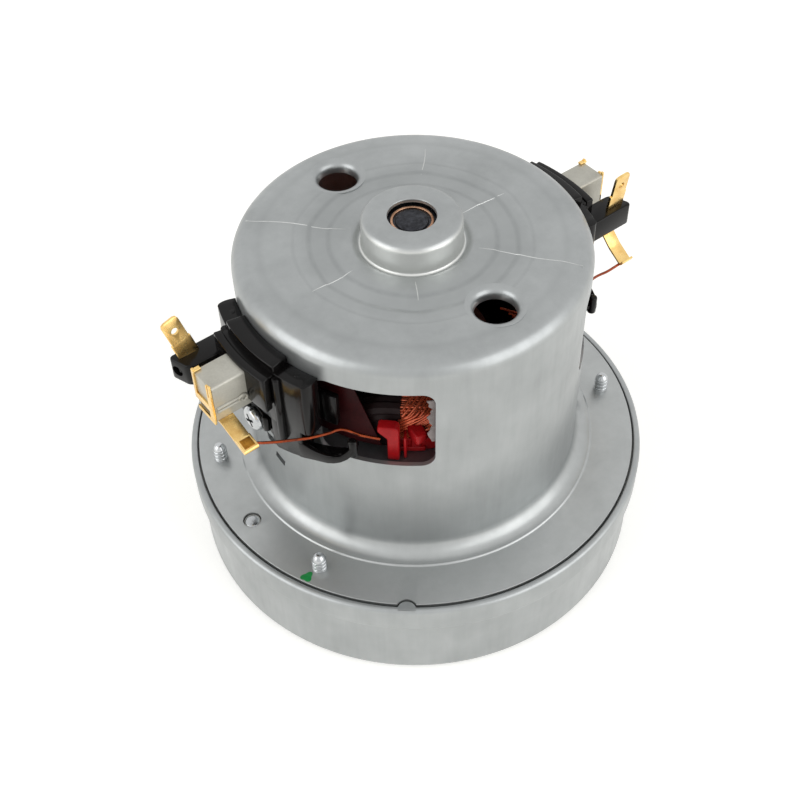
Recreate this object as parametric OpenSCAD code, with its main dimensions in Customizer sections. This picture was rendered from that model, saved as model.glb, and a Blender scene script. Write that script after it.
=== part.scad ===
// Vacuum cleaner motor unit: a brushed series motor in a drawn steel can, on a radial fan stage.
// The shaft is the Z axis, the fan cover's face stands at z = 0 and the brushes lie on the X axis.
// Both brush sides are alike after half a turn, apart from the hand-bent lead strips.

/* [Can] */
// Outer radius of the drawn can
can_r = 45.6; // [44.5:0.1:48]
// Height of the can's top above the flange
can_h = 70.1; // [68:0.1:78]
// Sheet thickness of the can
can_t = 1.2; // [0.8:0.1:1.5]
// Rounding of the can's top edge
can_round = 4; // [2:0.5:5]
// Radius at which the can's wall runs out into the flange
foot_round = 4.5; // [3:0.5:5]
// Width of the low step between that radius and the flange
shoulder_w = 2.1; // [1:0.1:3]
// Height of the low step
shoulder_h = 0.35; // [0.1:0.05:0.6]
// Height of the bearing hub above the can's top
hub_h = 7; // [5:0.5:10]
// Rounding of the hub's top edge
hub_round = 2; // [1:0.5:3]
// Radius of the hole in the hub's top
hub_hole_r = 6.15; // [5:0.05:7]
// Radii of the two stamped rings on the top
stamp_r = [21, 25.5]; // [18:0.5:27]
// Radius of the round tool that stamps them
stamp_tool_r = 0.9; // [0.5:0.1:1.2]
// Depth of the stamped rings
stamp_d = 0.3; // [0.1:0.05:0.5]
// Width of the lowered band round the top's edge
edge_band_w = 5.2; // [4.5:0.1:8]
// Drop of that band
edge_band_d = 0.35; // [0.1:0.05:0.6]
// Radius from the axis to each cooling hole in the top
vent_pos_r = 31; // [28:0.5:34]
// Radius of a cooling hole
vent_r = 5; // [3:0.1:6]
// Rounding of a cooling hole's drawn-in rim
vent_round = 0.8; // [0.4:0.1:1]

/* [Brush windows] */
// Half width of a window, in degrees round the can
win_ang = 58.3; // [52:0.1:62]
// Distance from the can's top down to a window
win_drop = 8.2; // [7:0.1:9]
// Height of a window
win_h = 24.8; // [22:0.1:26]
// Corner radius of a window
win_round = 4; // [2:0.5:6]
// Half width of the tongue that takes the holder's screw, in degrees
tongue_ang = 7; // [5:0.5:9]
// Height of the tongue
tongue_h = 6.5; // [5:0.5:8]

/* [Fan cover] */
// Outer radius of the fan cover's rim
rim_r = 65; // [63:0.1:69]
// How far the wall below the rim is drawn in
rim_step = 1.2; // [0.6:0.1:1.8]
// Height of the widened rim
rim_h = 8.6; // [7:0.1:9.5]
// Sheet thickness of the cover
cover_t = 1.2; // [0.8:0.1:1.5]
// Rounding of the cover's lower edge
cover_round = 3; // [2:0.5:5]
// Gap between the rim and the flange
rim_gap = 1.2; // [0.8:0.1:1.6]
// How far the rim's edge lies below the flange's top
rim_drop = 0.3; // [0:0.1:0.8]
// Radius of the air inlet
inlet_r = 17.5; // [14:0.5:20]
// Height of the inlet's rolled lip
lip_h = 2; // [1:0.1:2.2]
// Direction of the two tabs that stake the rim to the flange, in degrees
stake_dir = 49.6; // [40:0.1:60]
// Radius of a stake tab
stake_r = 3.2; // [2:0.1:4]

/* [Fan] */
// Gap between the cover's face and the fan
fan_gap = 2.6; // [2.5:0.1:4]
// Thickness of the fan's plates
fan_plate_t = 1; // [0.6:0.1:1.4]
// Thickness of a fan blade
blade_t = 0.8; // [0.6:0.1:1.2]
// Height of the blades at the eye
eye_h = 7.4; // [7:0.1:11]
// Height of the blades at the fan's edge
edge_h = 6; // [4:0.1:6.8]
// Number of fan blades
blades = 9; // [6:1:12]
// Gap between the fan's edge and the cover's wall
fan_tip_gap = 6.6; // [4:0.1:9]
// Space between the fan and the diffuser
diff_gap = 4.5; // [3.6:0.1:6]

/* [Diffuser and bracket] */
// Thickness of the diffuser's plate
diff_t = 2; // [1.5:0.1:3]
// Height of the diffuser's vanes
vane_h = 8.3; // [8.2:0.1:11]
// Thickness of a vane
vane_t = 1.4; // [1:0.1:2]
// Number of vanes
vanes = 12; // [8:1:14]
// Air gap round the edge of the diffuser's plate
diff_edge_gap = 5; // [4:0.1:8]
// Thickness of the lower bracket
bracket_t = 1.5; // [1.2:0.1:2.5]
// Width of a bracket arm
arm_w = 16; // [12:0.5:20]
// Radius of a locating peg
peg_r = 2.2; // [1.5:0.1:2.5]
// How far a peg's top lies below the flange's top
peg_drop = 0.6; // [0.2:0.1:1]

/* [Screws] */
// Thread radius of the flange screws
screw_r = 2; // [1.5:0.1:2.5]
// Head radius of the flange screws
screw_head_r = 3.6; // [3:0.1:4]
// Head height of the flange screws
screw_head_h = 2.6; // [1.8:0.1:3]
// How far the screw tips stand above the flange
screw_tip_h = 5.6; // [3:0.1:8]
// Distance of the screws from the flange's edge
screw_edge = 5.9; // [5:0.1:6.5]
// Angle of the screws from the brush axis, in degrees
screw_ang = 25.2; // [20:0.1:30]
// Thread radius of the holder screws
holder_screw_r = 1.5; // [1.2:0.1:1.8]
// Head radius of the holder screws
holder_head_r = 3.5; // [2.8:0.1:3.8]
// Head height of the holder screws
holder_head_h = 2.3; // [1.5:0.1:2.8]

/* [Bearings and shaft] */
// Outer radius of the ball bearings
brg_r = 11; // [10.5:0.1:11.5]
// Width of the ball bearings
brg_w = 7; // [6.4:0.1:7.6]
// Radius of a bearing ball
ball_r = 2; // [1.8:0.05:2.1]
// Number of balls in a bearing
balls = 7; // [5:1:8]
// Thickness of the rubber sleeve round the upper bearing
sleeve_t = 0.55; // [0.4:0.05:1]
// Thickness of the washer that loads the upper bearing
washer_t = 0.8; // [0.5:0.1:1.2]
// Radius of the shaft in its bearings
shaft_r = 4; // [3.6:0.1:4.3]
// Radius of the shaft between its bearings
shaft_mid_r = 5; // [4.7:0.1:5.4]

/* [Motor core] */
// Height of the stator above the flange
stator_lift = 12.6; // [12:0.1:16]
// Length of the stator and the armature stacks
stack_h = 21.5; // [16:0.5:23]
// Air gap between the armature and the poles
air_gap = 0.7; // [0.5:0.1:1]
// Outer radius of the armature
arm_r = 20.6; // [19.6:0.1:21]
// Number of armature slots
slots = 12; // [10:1:13]
// Radius of an armature slot
slot_r = 3; // [2.4:0.1:3.2]
// Radius of the commutator
comm_r = 11.5; // [10.5:0.1:12]
// Length of the commutator
comm_len = 15; // [13:0.1:16]
// Number of commutator bars
bars = 24; // [20:2:30]
// Gap between two bars
bar_gap = 0.5; // [0.3:0.05:0.8]

/* [Field coils] */
// Loops in the outer layer of a field coil
loops = 8; // [6:1:8]
// Diameter of the coil wire
wire_d = 0.7; // [0.6:0.05:0.75]
// Spacing of the loops
loop_pitch = 1.16; // [1.16:0.01:1.2]
// Height of the end turns above the stator
turn_h = 13; // [12:0.1:14]
// Depth of the end turns below the stator
turn_d = 11; // [10:0.1:11.4]
// Half width of a coil, in degrees from its pole
coil_ang = 63; // [60:0.5:65]
// Thickness of a coil's core under the outer layer
coil_t = 8; // [6:0.1:8.4]

/* [Brush gear] */
// Distance from the can's top down to the brush axis
brush_drop = 15.5; // [15:0.1:16]
// Width of a carbon brush
brush_w = 6.4; // [5.6:0.1:6.8]
// Height of a carbon brush
brush_h = 10; // [9:0.1:10.4]
// Length of a carbon brush
brush_len = 32; // [26:0.5:34]
// Sheet thickness of the brush tube
tube_t = 0.8; // [0.6:0.05:1]
// How far the brush tube stands out of the can
tube_out = 17.5; // [16.5:0.1:19]
// Curls of a brush spring
curls = 9; // [6:1:10]
// Wire diameter of a brush spring
spring_d = 0.7; // [0.5:0.05:0.8]
// Mean radius of a brush spring
spring_r = 2.3; // [1.8:0.05:2.4]
// Thickness of the brass strip
brass_t = 0.6; // [0.4:0.05:0.8]
// Width of the lead strips
strip_w = 4.8; // [4:0.1:5.2]
// Length of the bent part of the left and the right lead strip
strip_len = [8.5, 16]; // [7:0.5:18]
// Slope of the lead strips, in degrees
strip_slope = 34; // [28:1:38]
// Width of a spade terminal
spade_w = 4.8; // [4:0.1:6.3]
// Length of a spade terminal
spade_len = 13; // [9:0.5:16]
// Radius of the hole near a spade's tip
spade_hole_r = 0.85; // [0.5:0.05:1.2]
// Diameter of the coil leads
lead_d = 0.9; // [0.7:0.05:1]

/* [Brush holder] */
// Half width of the holder's saddle, in degrees
saddle_ang = 11.5; // [10:0.1:12]
// Height of the saddle's top above the brush axis
saddle_top = 9.2; // [8.8:0.1:10]
// Width of the groove between the two bars
groove_w = 2; // [1:0.1:2.4]
// Depth of that groove
groove_d = 0.5; // [0.3:0.05:0.6]
// Depth of the saddle's outer bar
ledge_d = 2.4; // [1.5:0.1:3]
// Height of the wings' top above the brush axis
wing_top = 7; // [6.8:0.1:7.4]
// Depth of the wings and of the saddle's inner bar
wing_d = 4.9; // [3.8:0.1:5.4]
// Radius of the round columns at the wings' ends
column_r = 3.4; // [2.5:0.1:3.8]
// Half angle between the columns, in degrees
column_ang = 21.5; // [20:0.1:23]
// Half width of the skirt, in degrees
skirt_ang = 33.5; // [31:0.5:36]
// Depth of the skirt's wall
skirt_d = 2.4; // [1.6:0.1:3]
// How far the skirt reaches below the window
skirt_drop = 6.5; // [5:0.1:8]
// Depth of the gutter along the skirt
gutter_d = 3; // [2:0.1:4]
// Width of the arm that carries the spade
spade_arm_w = 8; // [7:0.1:9]
// Height of the arm
spade_arm_h = 8; // [6:0.1:9]
// How far the arm reaches out of the can
spade_arm_out = 19; // [18:0.1:20]

/* [Hidden] */
$fn = 96;

// Clearances: cut overlap, fixed fit, running fit and loose fit
eps = 1;
fit = 0.03;
run = 0.1;
loose = 0.3;

// Colours as the photograph shows them
steel = "#b2b3b0";
zinc = "#c3c5c4";
black_plastic = "#1e1d1d";
grey_plastic = "#b9b9b4";
red_plastic = "#b02436";
brass = "#c99a4c";
copper = "#b4552f";
dark_steel = "#55565a";
carbon = "#2b2a2c";
fibre = "#6f3a2a";
rubber = "#262626";

// Fan stage, upwards from the cover's face
front_z = cover_t + fan_gap;
blade_z = front_z + fan_plate_t;
back_z = blade_z + eye_h;
fan_top = back_z + fan_plate_t;
diff_z = fan_top + diff_gap;
vane_z = diff_z + diff_t;
bracket_z = vane_z + vane_h;
flange_z = bracket_z + bracket_t;
flange_top = flange_z + can_t;
cover_h = flange_top - rim_drop;
wall_r = rim_r - rim_step;
rim_in = rim_r - cover_t;
wall_in = wall_r - cover_t;
flange_r = rim_in - rim_gap;
fan_r = wall_in - fan_tip_gap;
eye_r = inlet_r + cover_t + loose;
edge_z = back_z - edge_h;
ring_w = 2.4;
ring_z = cover_h - rim_h + cover_t;

// Can and hub
can_in = can_r - can_t;
can_top = flange_top + can_h;
hub_top = can_top + hub_h;
hub_in = brg_r + fit + sleeve_t + fit;
hub_r = hub_in + can_t;
shoulder_top = flange_top + shoulder_h;
shoulder_r = can_r + foot_round + shoulder_w;
win_top = can_top - win_drop;
win_z = win_top - win_h;
pin_pos_r = flange_r - screw_edge;

// Bearings and shaft
up_brg_z = hub_top - can_t - washer_t - brg_w;
low_brg_z = bracket_z - brg_w;
pitch_r = (brg_r + shaft_r) / 2;
race_w = 2;
cup_t = 1.5;
cup_r = brg_r + fit + cup_t;
cup_lip = 1;
spacer_r = 6.5;
nut_h = 5;
nut_af = 13;
fan_washer_r = 10;
fan_washer_t = 1.4;
shaft_end_z = back_z - fan_washer_t - nut_h - 1;
shaft_top = up_brg_z + brg_w + 0.4;

// Motor core
stator_z = flange_top + stator_lift;
stator_top = stator_z + stack_h;
stator_r = can_in - fit;
bore_r = arm_r + air_gap;
tip_r = bore_r + 4.2;
yoke_in = coil_r1() + loose + 0.9;
brush_z = can_top - brush_drop;
comm_z = brush_z - comm_len / 2;
comm_top = comm_z + comm_len;
hub_core_r = 7.2;
riser_h = 2.2;
riser_d = 1.4;
disc_t = 0.8;
slot_pos_r = arm_r - slot_r - 1.9;
winding_in = shaft_mid_r + 2;

// Field coils, in a frame with the pole on +X
function coil_r0() = tip_r + 1.9;
function coil_r1() = coil_r0() + loops * loop_pitch + wire_d / 2;
coil_mid_r = (coil_r0() + coil_r1()) / 2;
coil_z0 = stator_z - turn_d;
coil_z1 = stator_top + turn_h;
coil_corner = coil_t + 1.8;
coil_skin = wire_d / 2 + 0.25;
pole_ang = coil_ang - (coil_t + coil_skin) / coil_mid_r * 180 / PI - 4.5;
slot_open_ang = 24;

// Brush gear, in a frame with the brush axis on +X
holder_in = can_r + run;
tube_w = brush_w + 2 * run + 2 * tube_t;
tube_h = brush_h + 2 * run + 2 * tube_t;
tube_x0 = comm_r + riser_d + 1.6;
tube_x1 = can_r + tube_out;
brush_x0 = comm_r + run;
brush_x1 = sqrt(brush_x0 * brush_x0 - brush_w * brush_w / 4) + brush_len;
cap_x = tube_x1 + fit;
ledge_r0 = holder_in + wing_d + groove_w;
ledge_r1 = ledge_r0 + ledge_d;
wing_r = holder_in + wing_d;
core_z = brush_z - tube_h / 2 - 2.4;
skirt_z = win_z - skirt_drop;
boss_r = holder_head_r + 1;
boss_x = holder_in + wing_d + 0.8;
screw_z = win_z + 0.8;
arm_y = tube_w / 2 + 4;
arm_top = brush_z + 2.5;
strip_z = brush_z - tube_h / 2 - fit - brass_t;
strip_x = tube_x1 - 1.4 - strip_w;
strip_bend = tube_w / 2 + 0.6;

// Where a lead lies in the fold of its strip, as distance from the brush axis and height
function fold_place(side) =
    let (
        along = strip_len[side] - brass_t - run - lead_d / 2,
        up = brass_t / 2 + run + lead_d / 2
    )
    [strip_bend + along * cos(strip_slope) + up * sin(strip_slope),
     strip_z + brass_t / 2 - along * sin(strip_slope) + up * cos(strip_slope)];

// Hand-chosen route of a coil lead from its strip to its post, for the left and the right side
lead_route = [
    [[51.8, 13.6, 74.6], [49.4, 16.8, 73.8], [47, 19.6, 73.4], [44.2, 21.8, 73.6], [41, 22.9, 74.6],
     [38.4, 23.8, 75.2], [35.6, 25.6, 74.2], [32.94, 27.48, 72.8]],
    [[52, -18, 71.9], [49.6, -19.2, 72.7], [47, -20.8, 73.4], [44.2, -22.4, 73.9], [41.2, -23.2, 74.6],
     [38.4, -23.9, 75], [35.6, -25.6, 74.2], [32.94, -27.48, 72.8]]
];

function lead_points(side) =
    let (
        place = fold_place(side),
        y = side == 0 ? place[0] : -place[0]
    )
    concat(
        [for (x = [strip_x + strip_w - 0.4, strip_x - 0.4, strip_x - 2.2]) [x, y, place[1]]],
        lead_route[side]
    );

// Shared shapes

module two_fold() {
    for (a = [0, 180])
        rotate([0, 0, a]) children();
}

module mirrored_y() {
    for (s = [0, 1])
        mirror([0, s, 0]) children();
}

module ring(r_out, r_in, z, h) {
    translate([0, 0, z])
        difference() {
            cylinder(r = r_out, h = h);
            translate([0, 0, -eps]) cylinder(r = r_in, h = h + 2 * eps);
        }
}

// A stretch of a ring between two angles, in plan
module plan_arc(r_in, r_out, a0, a1) {
    reach = 4 * can_r;
    mid = (a0 + a1) / 2;
    intersection() {
        difference() {
            circle(r_out);
            circle(r_in);
        }
        polygon([
            [0, 0],
            reach * [cos(a0), sin(a0)],
            reach * [cos(mid), sin(mid)],
            reach * [cos(a1), sin(a1)]
        ]);
    }
}

module plan_sector(r_in, r_out, half_ang) {
    plan_arc(r_in, r_out, -half_ang, half_ang);
}

// A plan raised between two heights
module storey(z0, z1) {
    translate([0, 0, z0]) linear_extrude(z1 - z0) children();
}

module arc_wall(r_in, r_out, z0, z1, a0, a1) {
    storey(z0, z1) plan_arc(r_in, r_out, a0, a1);
}

module sector(r_in, r_out, z0, z1, half_ang) {
    storey(z0, z1) plan_sector(r_in, r_out, half_ang);
}

// The corner left over when a square's upper right corner is rounded
module round_off(r) {
    translate([-r, -r])
        difference() {
            square(r + eps);
            circle(r);
        }
}

// The web of a hollow corner that opens up and to the right
module fill_corner(r) {
    difference() {
        translate([-eps, -eps]) square(r + eps);
        translate([r, r]) circle(r);
    }
}

module rounded_bar(w, h, r) {
    square([w, h - 2 * r], center = true);
    square([w - 2 * r, h], center = true);
    for (sx = [-1, 1], sy = [-1, 1])
        translate([sx * (w / 2 - r), sy * (h / 2 - r)]) circle(r);
}

module pan_head(r, h) {
    edge = h * 0.45;
    rotate_extrude()
        difference() {
            square([r, h]);
            translate([r, h]) round_off(edge);
        }
}

// Swept tubes

function unit(v) = v / norm(v);
function tangent(path, i) = unit(path[min(i + 1, len(path) - 1)] - path[max(i - 1, 0)]);
function across(t, ref) = unit(ref - t * (t * ref));

function tube_points(path, refs, r, sides) = [
    for (i = [0:len(path) - 1])
        let (t = tangent(path, i), u = across(t, refs[i]), v = cross(t, u))
            for (k = [0:sides - 1])
                path[i] + r * (cos(360 * k / sides) * u + sin(360 * k / sides) * v)
];

function skin_faces(rings, sides, closed) = [
    for (i = [0:rings - (closed ? 1 : 2)], k = [0:sides - 1])
        let (a = i * sides, b = ((i + 1) % rings) * sides, n = (k + 1) % sides)
            each [[a + k, b + n, a + n], [a + k, b + k, b + n]]
];

function cap_faces(rings, sides) = let (last = (rings - 1) * sides) [
    for (k = [1:sides - 2])
        each [[0, k, k + 1], [last, last + k + 1, last + k]]
];

module tube(path, refs, r, sides) {
    polyhedron(
        points = tube_points(path, refs, r, sides),
        faces = concat(cap_faces(len(path), sides), skin_faces(len(path), sides, false)),
        convexity = 10
    );
}

// Least gap between stretches of a tube that lie more than skip points apart
function least_gap(path, d, skip) = min([
    for (i = [0:len(path) - 1 - skip], j = [i + skip:len(path) - 1])
        norm(path[i] - path[j])
]) - d;

// A lead's route is drawn through its points as a smooth curve
function smooth_at(p, i, t) =
    let (
        a = p[max(i - 1, 0)], b = p[i], c = p[i + 1], d = p[min(i + 2, len(p) - 1)],
        t2 = t * t, t3 = t2 * t
    )
    0.5 * (2 * b + (c - a) * t + (2 * a - 5 * b + 4 * c - d) * t2 + (3 * b - a - 3 * c + d) * t3);
function smooth_route(p, steps) = concat(
    [for (i = [0:len(p) - 2], k = [0:steps - 1]) smooth_at(p, i, k / steps)],
    [p[len(p) - 1]]
);

// Field coil stations: a rounded frame laid round the axis, [angle, height, outward turn]
coil_hw = coil_mid_r * coil_ang * PI / 180;
coil_hh = (coil_z1 - coil_z0) / 2;
corner_steps = 3;
run_steps = 4;
stations = [
    for (q = [0:3])
        let (
            sx = q == 0 || q == 3 ? 1 : -1, sz = q < 2 ? 1 : -1,
            cx = sx * (coil_hw - coil_corner), cz = sz * (coil_hh - coil_corner),
            level = q == 0 || q == 2, parts = level ? run_steps : 2, end_turn = 90 * (q + 1)
        )
        each concat(
            [for (k = [0:corner_steps])
                let (turn = 90 * (q + k / corner_steps))
                    [cx + coil_corner * cos(turn), cz + coil_corner * sin(turn), turn]],
            [for (k = [1:parts - 1])
                let (f = 1 - 2 * k / parts)
                    level
                        ? [f * cx, cz + sz * coil_corner, end_turn]
                        : [cx + sx * coil_corner, f * cz, end_turn]]
        )
];
turn_rings = len(stations);

// A point at a station, pushed out by off across the coil's side
function coil_point(station, r, off) =
    let (
        ang = (station[0] + off * cos(station[2])) / coil_mid_r * 180 / PI,
        z = (coil_z0 + coil_z1) / 2 + station[1] + off * sin(station[2])
    )
    [r * cos(ang), r * sin(ang), z];

first_ring = turn_rings * 5 / 8;
winding_path = [
    for (i = [0:loops * turn_rings - 1])
        coil_point(
            stations[(i + first_ring) % turn_rings],
            coil_r0() + wire_d / 2 + loop_pitch * i / turn_rings,
            0
        )
];
winding_refs = [for (p = winding_path) [p[0], p[1], 0]];
winding_gap = least_gap(winding_path, wire_d, turn_rings / 2);
echo(least_gap_of_field_winding = winding_gap);

spring_x0 = brush_x1 + loose;
spring_x1 = cap_x - loose;
curl_rings = 8;
spring_ring = 360 / curl_rings;
spring_path = concat(
    [[spring_x0, spring_r, -spring_d]],
    [for (i = [0:curls * curl_rings])
        [spring_x0 + spring_d / 2 + (spring_x1 - spring_x0 - spring_d) * i / (curls * curl_rings),
         spring_r * cos(spring_ring * i), spring_r * sin(spring_ring * i)]],
    [[spring_x1, spring_r, spring_d]]
);
spring_gap = least_gap(spring_path, spring_d, curl_rings - 2);
echo(least_gap_of_brush_spring = spring_gap);

// Casings

module can_outline() {
    translate([0, flange_z]) square([flange_r, can_t]);
    translate([0, flange_z]) square([shoulder_r, can_t + shoulder_h]);
    translate([can_r, shoulder_top]) fill_corner(foot_round);
    difference() {
        translate([0, flange_z]) square([can_r, can_top - flange_z]);
        translate([can_r, can_top - edge_band_d]) round_off(can_round);
        translate([can_r - edge_band_w, can_top - edge_band_d]) square([edge_band_w + eps, eps]);
    }
    difference() {
        translate([0, can_top - can_t]) square([hub_r, hub_h + can_t]);
        translate([hub_r, hub_top]) round_off(hub_round);
    }
}

module can_hollow() {
    foot_in = foot_round + can_t;
    difference() {
        translate([0, flange_z - eps]) square([can_in, can_top - can_t - edge_band_d - flange_z + eps]);
        translate([can_in, can_top - can_t - edge_band_d]) round_off(max(can_round - can_t, 0.2));
    }
    translate([can_in, flange_z + shoulder_h]) fill_corner(foot_in);
    translate([0, flange_z - eps]) square([can_in + foot_in, eps + shoulder_h]);
    translate([0, can_top - 2 * can_t - edge_band_d]) square([hub_in, hub_h + can_t + edge_band_d]);
    square([hub_hole_r, hub_top + eps]);
    for (r = stamp_r)
        translate([r, can_top + stamp_tool_r - stamp_d]) circle(stamp_tool_r);
}

module vent_cut() {
    translate([0, vent_pos_r, can_top])
        rotate_extrude()
            difference() {
                translate([0, -3 * can_t]) square([vent_r + vent_round, 3 * can_t + eps]);
                translate([vent_r + vent_round, -vent_round]) circle(vent_round);
                translate([vent_r, -3 * can_t - eps])
                    square([eps + vent_round, 3 * can_t + eps - vent_round]);
            }
}

module turned_sector(r_in, r_out, z0, z1, half_ang) {
    rotate([0, 0, -half_ang])
        rotate_extrude(angle = 2 * half_ang)
            translate([r_in, z0]) square([r_out - r_in, z1 - z0]);
}

// A window with rounded ends, which leaves a tongue standing for the holder's screw
module window_cut() {
    end_w = 2 * win_round + 6;
    end_ang = win_ang - asin(end_w / 2 / can_r);
    difference() {
        union() {
            turned_sector(can_in - 2 * eps, can_r + 2 * eps, win_z, win_top, end_ang);
            mirrored_y()
                rotate([0, 0, end_ang])
                    translate([can_in - 3 * eps, 0, win_z + win_h / 2])
                        rotate([90, 0, 90])
                            linear_extrude(can_t + 6 * eps) rounded_bar(end_w, win_h, win_round);
        }
        turned_sector(can_in - 3 * eps, can_r + 3 * eps, win_z - eps, win_z + tongue_h, tongue_ang);
    }
}

module screw_places() {
    for (s = [-1, 1])
        rotate([0, 0, s * screw_ang]) translate([pin_pos_r, 0, 0]) children();
}

module stake_place() {
    rotate([0, 0, stake_dir]) translate([rim_in, 0, 0]) children();
}

module motor_housing() {
    color(steel)
        difference() {
            rotate_extrude()
                difference() {
                    can_outline();
                    can_hollow();
                }
            two_fold() {
                window_cut();
                translate([0, 0, screw_z])
                    rotate([0, 90, 0]) cylinder(r = holder_screw_r + fit, h = can_r + eps);
                vent_cut();
                translate([pin_pos_r, 0, flange_z - eps]) cylinder(r = peg_r + loose, h = can_t + 3 * eps);
                screw_places()
                    translate([0, 0, flange_z - eps]) cylinder(r = screw_r + fit, h = can_t + 3 * eps);
                stake_place()
                    translate([0, 0, flange_z - eps])
                        cylinder(r = stake_r + rim_gap / 3, h = can_t + 3 * eps);
            }
        }
}

module fan_cover() {
    color(steel) {
        rotate_extrude()
            difference() {
                union() {
                    difference() {
                        square([wall_r, cover_h - rim_h + cover_t]);
                        translate([wall_r, 0]) mirror([0, 1]) round_off(cover_round);
                    }
                    translate([0, cover_h - rim_h]) square([rim_r, rim_h]);
                }
                difference() {
                    translate([0, cover_t]) square([wall_in, cover_h]);
                    translate([wall_in, cover_t]) mirror([0, 1]) round_off(max(cover_round - cover_t, 0.2));
                    translate([inlet_r, 0]) square([cover_t, cover_t + lip_h]);
                }
                translate([0, ring_z]) square([rim_in, cover_h]);
                translate([0, -eps]) square([inlet_r, cover_h]);
            }
        two_fold()
            intersection() {
                stake_place() translate([0, 0, cover_h - can_t / 2]) cylinder(r = stake_r, h = can_t / 2);
                cylinder(r = rim_in + cover_t / 2, h = hub_top);
            }
    }
}

module lower_bracket() {
    hub_w = cup_r + 2;
    window_in = can_in - 1;
    color(zinc) {
        difference() {
            translate([0, 0, bracket_z]) cylinder(r = flange_r, h = bracket_t);
            translate([0, 0, bracket_z - eps]) cylinder(r = brg_r + fit, h = bracket_t + 2 * eps);
            difference() {
                ring(window_in, hub_w, bracket_z - eps, bracket_t + 2 * eps);
                for (a = [45, 135])
                    rotate([0, 0, a])
                        translate([-can_r, -arm_w / 2, bracket_z - 2 * eps])
                            cube([2 * can_r, arm_w, bracket_t + 4 * eps]);
            }
            two_fold() {
                translate([pin_pos_r, 0, bracket_z - eps])
                    cylinder(r = peg_r + loose, h = bracket_t + 2 * eps);
                screw_places()
                    translate([0, 0, bracket_z - eps])
                        cylinder(r = screw_r + loose, h = bracket_t + 2 * eps);
                stake_place()
                    translate([0, 0, bracket_z - eps])
                        cylinder(r = stake_r + rim_gap / 3, h = bracket_t + 2 * eps);
            }
        }
        ring(cup_r, brg_r + fit, low_brg_z, brg_w);
        ring(cup_r, spacer_r + 1, low_brg_z - cup_lip, cup_lip);
    }
}

// One curved wall of the diffuser or of the fan, in plan
module swept_wall(r_in, r_out, t) {
    bend_r = r_out * 0.8;
    intersection() {
        difference() {
            circle(r_out);
            circle(r_in);
        }
        translate([r_in * 0.5, -bend_r * 0.75])
            difference() {
                circle(bend_r + t / 2);
                circle(bend_r - t / 2);
            }
        translate([0, -r_out * 0.45]) square([r_out, r_out * 1.45]);
    }
}

module diffuser() {
    plate_r = wall_in - diff_edge_gap;
    ring_r = rim_in - run;
    ring_in = ring_r - ring_w;
    boss_r = screw_r + 2.4;
    root_z = vane_z - diff_t / 2;
    color(grey_plastic) {
        difference() {
            union() {
                ring(plate_r, cup_r + loose, diff_z, diff_t);
                ring(ring_r, ring_in, ring_z, bracket_z - ring_z);
                for (i = [0:vanes - 1])
                    rotate([0, 0, i * 360 / vanes])
                        storey(root_z, bracket_z - loose) swept_wall(cup_r + 4, ring_in + eps, vane_t);
                two_fold()
                    screw_places() translate([0, 0, root_z]) cylinder(r = boss_r, h = bracket_z - root_z);
            }
            two_fold()
                screw_places()
                    translate([0, 0, diff_z - eps])
                        cylinder(r = screw_r + loose, h = diff_t + vane_h + 2 * eps);
        }
        two_fold()
            translate([pin_pos_r, 0, root_z]) cylinder(r = peg_r, h = flange_top - peg_drop - root_z);
    }
}

// Stator and field coils

module stator_core() {
    color(dark_steel)
        translate([0, 0, stator_z])
            linear_extrude(stack_h)
                difference() {
                    circle(stator_r);
                    circle(bore_r);
                    two_fold() {
                        plan_sector(tip_r, yoke_in, 90 - pole_ang);
                        plan_sector(bore_r - eps, yoke_in, slot_open_ang);
                    }
                }
}

// The front coil sits on the pole at -Y, the back coil on the pole at +Y
module at_pole(dir) {
    rotate([0, 0, 90 * dir]) children();
}

module field_former(dir) {
    seat_top = coil_z1 - coil_skin - coil_t - run;
    seat_low = coil_z0 + coil_skin + coil_t + run;
    cheek_in = coil_r1() + loose;
    cheek_t = 1.8;
    lip_in = tip_r + 0.3;
    lip_t = 0.7;
    side_ang = pole_ang + 0.5;
    side_t_ang = 2.2;
    cheek_ang = coil_ang - 9;
    cheek_top = coil_z1 - 6;
    post_top = coil_z1 - 1.2;
    post_r = can_in - 1.2;
    post_ang = [43, 49.5];
    step_ang = [38, 54];
    plate_ang = [32.5, 36];
    color(red_plastic)
        at_pole(dir) {
            sector(lip_in, cheek_in, stator_top, seat_top, side_ang + side_t_ang);
            sector(lip_in, cheek_in, seat_low, stator_z, side_ang + side_t_ang);
            mirrored_y()
                arc_wall(lip_in + run, cheek_in, seat_low, seat_top, side_ang, side_ang + side_t_ang);
            sector(cheek_in, cheek_in + cheek_t, stator_top, cheek_top, cheek_ang);
            sector(lip_in, lip_in + lip_t, stator_top, cheek_top, cheek_ang - 6);
            sector(cheek_in, cheek_in + cheek_t, coil_z0 + 4, stator_z, cheek_ang);
            mirrored_y() {
                arc_wall(cheek_in, post_r, stator_top, post_top, post_ang[0], post_ang[1]);
                arc_wall(cheek_in, post_r, stator_top, post_top - 7, step_ang[0], step_ang[1]);
                arc_wall(cheek_in, post_r - 1.4, stator_top, post_top - 3, plate_ang[0], plate_ang[1]);
            }
        }
}

module field_coil(dir) {
    section = [
        [coil_r0(), -coil_skin], [coil_r1(), -coil_skin],
        [coil_r1(), -coil_skin - coil_t], [coil_r0(), -coil_skin - coil_t]
    ];
    color(copper)
        at_pole(dir)
            polyhedron(
                points = [for (s = stations, c = section) coil_point(s, c[0], c[1])],
                faces = skin_faces(turn_rings, len(section), true),
                convexity = 10
            );
}

module field_winding(dir) {
    color(copper)
        at_pole(dir) tube(winding_path, winding_refs, wire_d / 2, 6);
}

// Brush gear

module plan_arcs(r_in, r_out, a0, a1) {
    mirrored_y() plan_arc(r_in, r_out, a0, a1);
}

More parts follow.
